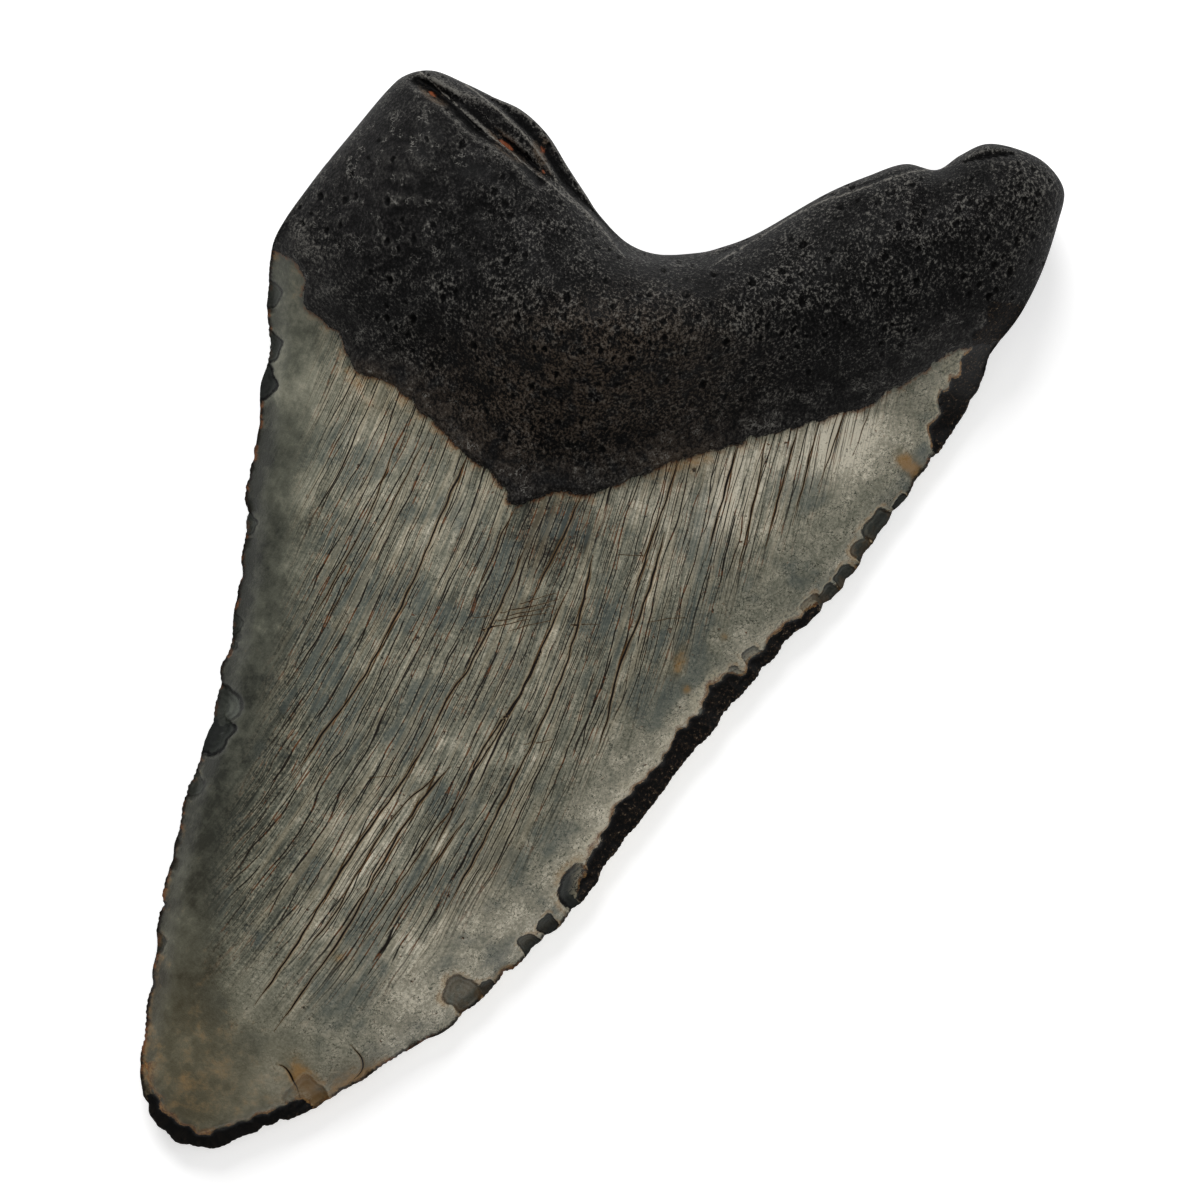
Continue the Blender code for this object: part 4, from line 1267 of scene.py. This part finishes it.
class Finish:
    """The layers of the fossil's material, on one wiring. Place is in millimetres."""

    def __init__(self, wiring):
        w = self.w = wiring
        self.crack_net, self.streaks = crack_net_group(), streak_group()
        self.scribbles = scribble_group()
        metres = w.node("ShaderNodeTexCoord").outputs["Object"]
        self.place = w.vector("DIVIDE", metres, (MM, MM, MM))
        self.grain = w.node("ShaderNodeAttribute", attribute_name="grain").outputs["Vector"]
        self.above, self.inset = w.attribute("above"), w.attribute("inset")
        self.crackled, self.etched = w.attribute("crackled"), w.attribute("etched")
        self.exposed, self.brown = w.attribute("exposed"), w.attribute("brown")
        self.etching = w.noise(self.place, ETCHING_SCALE, 3.0, 0.75)
        self.mottle = w.noise(self.place, MOTTLE_SCALE, 4.0, 0.65)
        self.dots = w.use("Shader", speck_group(), Place=self.place, Spacing=0.95, Size=0.19, Share=0.5)
        self.curls = w.use("Shader", self.scribbles, Place=self.place, Size=0.75, Half_Width=0.022)

    def streaked(self, width, length):
        return self.w.use("Shader", self.streaks, Grain=self.grain, Width=width, Length=length)

    def enamel_light(self, cloud, wide):
        """How light the enamel is, from 0 to 1, with its streaks, its etching, and painted shade in
        hollows and painted highlights on what stands out.
        """
        w = self.w
        fine = self.fine_streaks = self.streaked(0.22, 9.0)
        light = w.math("ADD", ENAMEL_LIGHT, w.attribute("tone"))
        light = w.around(cloud, 0.9, light)
        light = w.around(self.mottle, 0.7, light)
        coarse = w.times(self.etched, w.scaled(self.crackled, -0.3, 1.0))
        light = w.around(self.etching, w.scaled(coarse, 0.75, 0.2), light)
        streak = w.around(fine, 1.05, w.times(w.math("SUBTRACT", wide, 0.5), 0.5))
        light = w.scaled(streak, w.scaled(self.crackled, 0.9, 0.1), light)
        # Painted shade in the enamel's hollows and painted highlights on what stands out.
        light = w.math("ADD", light, w.span(self.exposed, -0.08, 0.08, -0.10, 0.10))
        curls = w.times(self.curls, coarse, w.span(self.mottle, 0.40, 0.54))
        return w.scaled(curls, -0.42, light)

    def enamel(self):
        """The enamel's colour, with its stains, its cracks and a dark line of painted shade along its
        rim.
        """
        w = self.w
        cloud = w.noise(self.place, CLOUD_SCALE, 3.0, 0.55)
        wide = self.streaked(1.1, 34.0)
        colour = w.ramp(self.enamel_light(cloud, wide), ENAMEL_TINTS)
        colour = w.blend(w.times(w.span(cloud, 0.5, 0.38), self.etched, 0.45), colour, BLUE_GREY)
        colour = w.blend(w.span(self.brown, 0.0, 0.6, 0.0, 0.4), colour, OLIVE)
        stain = w.around(self.mottle, 1.6, self.brown)
        stain = w.math("ADD", stain, w.fall(self.inset, 0.2, 1.6, 0.36))
        stain = w.math("ADD", stain, w.span(self.above, -2.4, -0.4, 0.0, 0.36))
        colour = w.blend(w.span(stain, 0.35, 1.1, 0.0, 0.75), colour, OCHRE)
        colour = w.blend(w.times(w.span(wide, 0.5, 0.64), self.crackled, 0.22), colour, TAN)
        colour = self.cracked(colour)
        dots = w.times(self.dots, w.span(self.mottle, 0.46, 0.56), w.scaled(self.etched, 0.75, 0.15))
        colour = w.blend(dots, colour, w.blend(w.span(self.etching, 0.5, 0.6), DIRT_AND_RIM_SHADE, RUST))
        # A dark line along the rim: painted shade at the edge, tinted with rust stain in places.
        rim = w.fall(w.around(self.etching, 0.8, self.inset), 0.18, 0.6, 0.95)
        return w.blend(rim, colour, w.blend(w.span(self.mottle, 0.5, 0.6), DIRT_AND_RIM_SHADE, RUST))

    def cracked(self, colour):
        """The same colour with the long cracks and the nets of finer ones over it, and painted
        highlights beside the finer ones.
        """
        w = self.w
        net = highlights = 0.0
        for number, (spacing, half_width, fading, strength) in enumerate(CRACK_NETS):
            made = w.use("Shader", self.crack_net, Grain=self.grain, Spacing=spacing, Fading=fading,
                         Shift=NET_SHIFT * number, Half_Width=half_width)
            net = w.math("MAXIMUM", net, w.times(made.outputs["Cracks"], strength))
            highlights = w.math("MAXIMUM", highlights, w.times(made.outputs["Lips"], strength))
        # Painted highlights beside the finer cracks.
        colour = w.blend(w.times(highlights, self.crackled, w.span(self.etching, 0.4, 0.6), 0.4), colour, LIP)
        dirt = w.blend(w.span(self.mottle, 0.52, 0.62, 0.0, 0.8), DIRT_AND_RIM_SHADE, RUST)
        colour = w.blend(w.times(net, self.crackled), colour, dirt)
        gap = w.attribute("crack")
        colour = w.blend(w.fall(gap, 1.0, 3.5, 0.3), colour, OCHRE)
        self.main_crack = w.fall(gap, 0.5, 1.2)
        return w.blend(self.main_crack, colour, DIRT_AND_RIM_SHADE)

    def bone_light(self):
        """How light the bone is, from 0 to 1, with its crumbs, its smooth band and its smooth lobe, and
        with painted shade in pits and painted highlights on crests.
        """
        w = self.w
        stretched = w.vector("MULTIPLY", self.place, (1.0, 0.75, 1.0))
        self.crumbs = w.noise(stretched, CRUMB_SCALE, 3.0, 0.72)
        # Thin lighter curls: painted highlights on the bone's crests.
        crest_highlights = w.use("Shader", self.scribbles, Place=self.place, Size=0.34, Half_Width=0.05)
        patchy = w.noise(self.place, 0.22, 2.0, 0.6)
        band = w.fall(self.above, 2.0, 6.0)
        lobe = w.attribute("smooth_lobe")
        self.calm = w.math("MAXIMUM", w.times(band, 0.6), w.times(lobe, 0.85))
        self.rough = w.math("SUBTRACT", 1.0, self.calm)
        contrast = w.times(w.scaled(self.rough, 2.5, 0.35), w.span(patchy, 0.35, 0.65, 0.75, 1.15))
        # The crumbs give the bone's own speckle and also painted shade in their pits and painted
        # highlights on their crests, the same relief that the bump gives.
        light = w.around(self.crumbs, contrast, BONE_LIGHT)
        light = w.around(self.mottle, 0.25, light)
        light = w.around(patchy, 0.3, light)
        light = w.scaled(w.times(crest_highlights, self.rough), 0.2, light)
        past_margin = w.span(self.above, 0.8, 1.6)
        # Painted shade in the bone's hollows and painted highlights on its crests, past the margin.
        light = w.scaled(w.span(self.exposed, -0.12, 0.12, -0.24, 0.24), past_margin, light)
        light = w.scaled(band, 0.18, light)
        light = w.scaled(lobe, 0.13, light)
        light = w.scaled(w.span(self.etching, 0.62, 0.74), 0.22, light)
        # Stronger painted highlights on what stands out most.
        return w.scaled(w.times(w.span(self.exposed, 0.12, 0.24), past_margin), 0.3, light)

    def bone(self):
        """The root's colour, with its stains, painted highlights along its ledges, its scuffs, and its
        pores darkened with painted shade.
        """
        w = self.w
        light = self.bone_light()
        colour = w.ramp(light, BONE_TINTS)
        stained = w.times(w.span(self.brown, 0.05, 0.4, 0.0, 0.6), w.span(self.mottle, 0.35, 0.55))
        colour = w.blend(stained, colour, w.blend(w.span(light, 0.28, 0.58), SHADE_AND_STAIN_BLACK, BROWN_BONE))
        deposit = w.span(w.around(self.mottle, 1.2, self.brown), 0.95, 1.15, 0.0, 0.9)
        colour = w.blend(deposit, colour, DEPOSIT)
        # A thin light line along the top edge of each bench: painted highlight where light catches it.
        ledge = w.math("ABSOLUTE", w.around(self.mottle, 0.5, w.attribute("ledge")))
        rim = w.times(w.fall(ledge, 0.04, 0.15, 0.8), w.span(self.etching, 0.42, 0.55))
        colour = w.blend(rim, colour, LEDGE_HIGHLIGHT)
        scuffs = w.times(self.curls, self.calm, w.span(self.mottle, 0.54, 0.62), 0.8)
        colour = w.blend(scuffs, colour, SCUFF_GREY)
        # The pores, and small spots for pores too fine for the mesh, are painted black: painted shade
        # inside them.
        holes = w.math("MAXIMUM", w.attribute("pore"), w.times(self.dots, self.rough))
        return w.blend(w.times(holes, 0.9), colour, SHADE_AND_STAIN_BLACK)

    def dentine(self):
        """Black splintery dentine, where an edge is broken away."""
        w = self.w
        # Painted highlights on the standing fibres of the broken face, and painted shade between them.
        standing = w.span(self.exposed, -0.1, 0.1, 0.30, 0.5)
        return w.ramp(w.around(self.etching, w.scaled(self.etched, 1.7, 0.3), standing), DENTINE_TINTS)

    def chipped(self, colour):
        """The same colour with the chips' faces over it: grey with dark rings, and darkened by painted
        shade at their walls and in their hollows.
        """
        w = self.w
        reach = w.around(self.etching, 0.35, w.attribute("chip"))
        halo = w.times(w.fall(reach, 1.05, 1.4), w.span(self.mottle, 0.42, 0.58), self.etched, 0.6)
        colour = w.blend(halo, colour, OCHRE)
        # A pale line just outside each chip: painted highlight on its lip.
        pale = w.times(w.stripe(reach, 1.0, 1.04, 1.06, 1.16), self.etched, 0.4)
        colour = w.blend(pale, colour, LIP)
        # Dark lines on the ripple rings: painted shade of their relief.
        ribs = w.span(w.math("SINE", w.times(reach, 22.0)), -0.6, 0.8)
        face = w.blend(w.times(ribs, 0.45), CHIP_GREY, CHIP_SHADE)
        # Painted shade: the face darkens near the tooth's rim, and as much as its chip's listed
        # darkness.
        face = w.blend(w.fall(w.around(self.mottle, 3.0, self.inset), 0.3, 2.6, 0.8), face, CHIP_SHADE)
        darkness = w.attribute("chip_shade")
        face = w.blend(w.span(darkness, 0.85, 1.0, 0.0, 0.75), face, CHIP_SHADE)
        # Painted shade at each chip's walls.
        face = w.blend(w.span(reach, 0.78, 0.9, 0.0, 0.9), face, SHADE_AND_STAIN_BLACK)
        colour = w.blend(w.times(w.fall(reach, 0.95, 1.02), darkness), colour, face)
        # The small nicks along the cutting edges are darkened with painted shade too.
        worn = w.times(w.attribute("worn"), w.fall(self.inset, 0.4, 1.2, 0.6))
        return w.blend(w.times(worn, w.span(self.mottle, 0.42, 0.56)), colour, CHIP_SHADE)

    def broken(self, colour, dentine):
        """The same colour with a pale lip, a brown trim and black dentine along the broken edges."""
        w = self.w
        ragged = w.scaled(self.etched, 0.6, 0.25)
        beyond = w.around(self.etching, ragged, w.attribute("beyond_break"))
        beyond = w.around(self.mottle, ragged, beyond)
        below = w.fall(self.above, -0.4, 0.0)
        lip = w.times(w.stripe(beyond, 0.35, 0.6, 0.7, 2.0), self.etched, below)
        colour = w.blend(w.times(lip, w.span(self.etching, 0.38, 0.58), 0.55), colour, LIP)
        trim = w.times(w.stripe(beyond, 0.0, 0.25, 0.3, 0.8), w.span(self.mottle, 0.4, 0.55), below, 0.9)
        colour = w.blend(trim, colour, w.blend(w.span(self.etching, 0.42, 0.58), RUST, OCHRE))
        return w.blend(w.fall(beyond, 0.08, 0.22), colour, dentine)

    def relief(self, on_bone):
        """Heights of the relief that is too fine for the mesh, in millimetres."""
        w = self.w
        rough_bone = w.times(on_bone, w.math("SUBTRACT", 1.0, w.times(self.calm, 0.8)))
        height = w.times(self.main_crack, CRACK_BUMP)
        height = w.scaled(w.times(self.fine_streaks, self.crackled), STREAK_BUMP, height)
        height = w.scaled(self.etching, ETCHING_BUMP, height)
        return w.scaled(w.times(self.crumbs, rough_bone), CRUMB_BUMP, height)


def fossil_tooth():
    """Enamel, root bone and broken dentine as one material, each shown where the mesh's marks say."""
    material = bpy.data.materials.new("fossil tooth")
    material.use_nodes = True
    w = Wiring(material.node_tree)
    finish = Finish(w)
    enamel, bone = finish.enamel(), finish.bone()
    ragged = w.around(finish.mottle, 1.2, w.around(finish.etching, 0.9, finish.above))
    on_bone = w.span(ragged, -0.05, 0.10)
    colour = w.blend(on_bone, finish.chipped(enamel), bone)
    contact = w.times(w.stripe(ragged, -0.35, -0.1, 0.0, 0.12), w.span(finish.mottle, 0.42, 0.55), 0.55)
    colour = w.blend(contact, colour, RUST)
    colour = finish.broken(colour, finish.dentine())

    shader = material.node_tree.nodes["Principled BSDF"].inputs
    bump = {"Height": finish.relief(on_bone), "Strength": 1.0, "Distance": MM}
    w.feed(shader["Normal"], w.node("ShaderNodeBump", bump).outputs["Normal"])
    w.feed(shader["Base Color"], colour)
    roughness = w.span(on_bone, 0.0, 1.0, ENAMEL_ROUGHNESS, BONE_ROUGHNESS)
    w.feed(shader["Roughness"], w.around(finish.mottle, 0.3, roughness))
    w.feed(shader["Coat Weight"], w.span(on_bone, 0.0, 1.0, ENAMEL_COAT, BONE_COAT))
    w.feed(shader["Coat Roughness"], COAT_ROUGHNESS)
    w.feed(shader["Specular IOR Level"], SPECULAR)
    return material


# ---------------------------------------------------------------- stage


def placed(name, data):
    """A new object with the given data, in the scene."""
    holder = bpy.data.objects.new(name, data)
    bpy.context.scene.collection.objects.link(holder)
    return holder


def pale_paper():
    """Matt white paper that glows a little and can be seen through from below."""
    material = bpy.data.materials.new("pale paper")
    material.use_nodes = True
    w = Wiring(material.node_tree)
    shader = material.node_tree.nodes["Principled BSDF"]
    settings = {"Base Color": (0.9, 0.9, 0.9, 1.0), "Roughness": 0.9, "Specular IOR Level": 0.1,
                "Emission Color": (1.0, 1.0, 1.0, 1.0), "Emission Strength": FLOOR_GLOW}
    for name, value in settings.items():
        w.feed(shader.inputs[name], value)
    behind = w.node("ShaderNodeNewGeometry").outputs["Backfacing"]
    clear = w.node("ShaderNodeBsdfTransparent").outputs["BSDF"]
    inputs = {0: behind, 1: shader.outputs["BSDF"], 2: clear}
    shown = w.node("ShaderNodeMixShader", inputs).outputs["Shader"]
    w.feed(material.node_tree.nodes["Material Output"].inputs["Surface"], shown)
    return material


def lay_floor():
    mesh = bpy.data.meshes.new("floor")
    side = FLOOR_SIDE / 2
    corners = [(-side, -side), (side, -side), (side, side), (-side, side)]
    mesh.from_pydata([(x, y, -FLOOR_DROP) for x, y in corners], [], [(0, 1, 2, 3)])
    mesh.materials.append(pale_paper())
    placed("floor", mesh)


def light_room():
    """Large soft panels that face the tooth, and an even pale room."""
    for name, place, size, power in LIGHTS:
        lamp = bpy.data.lights.new(name, "AREA")
        lamp.shape = "DISK"
        lamp.size = size
        lamp.energy = power
        holder = placed(name, lamp)
        holder.location = place
        holder.rotation_euler = (-Vector(place)).to_track_quat("-Z", "Y").to_euler()
    world = bpy.data.worlds.new("pale room")
    world.use_nodes = True
    world.node_tree.nodes["Background"].inputs["Color"].default_value = (1.0, 1.0, 1.0, 1.0)
    world.node_tree.nodes["Background"].inputs["Strength"].default_value = ROOM_LIGHT
    bpy.context.scene.world = world
    bpy.context.scene.view_settings.view_transform = "Standard"


def set_camera():
    """The camera straight above the tooth."""
    camera = bpy.data.cameras.new("camera")
    camera.sensor_width = CAMERA_SENSOR
    camera.lens = CAMERA_LENS
    holder = placed("camera", camera)
    holder.location = CAMERA_PLACE
    holder.rotation_euler = (0.0, 0.0, math.radians(CAMERA_TURN))
    bpy.context.scene.camera = holder


def main():
    lay_floor()
    light_room()
    set_camera()
    tooth = placed("shark_tooth", surfaced(tooth_mesh(), fossil_tooth()))
    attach(tooth, "root")
    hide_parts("tooth")


main()
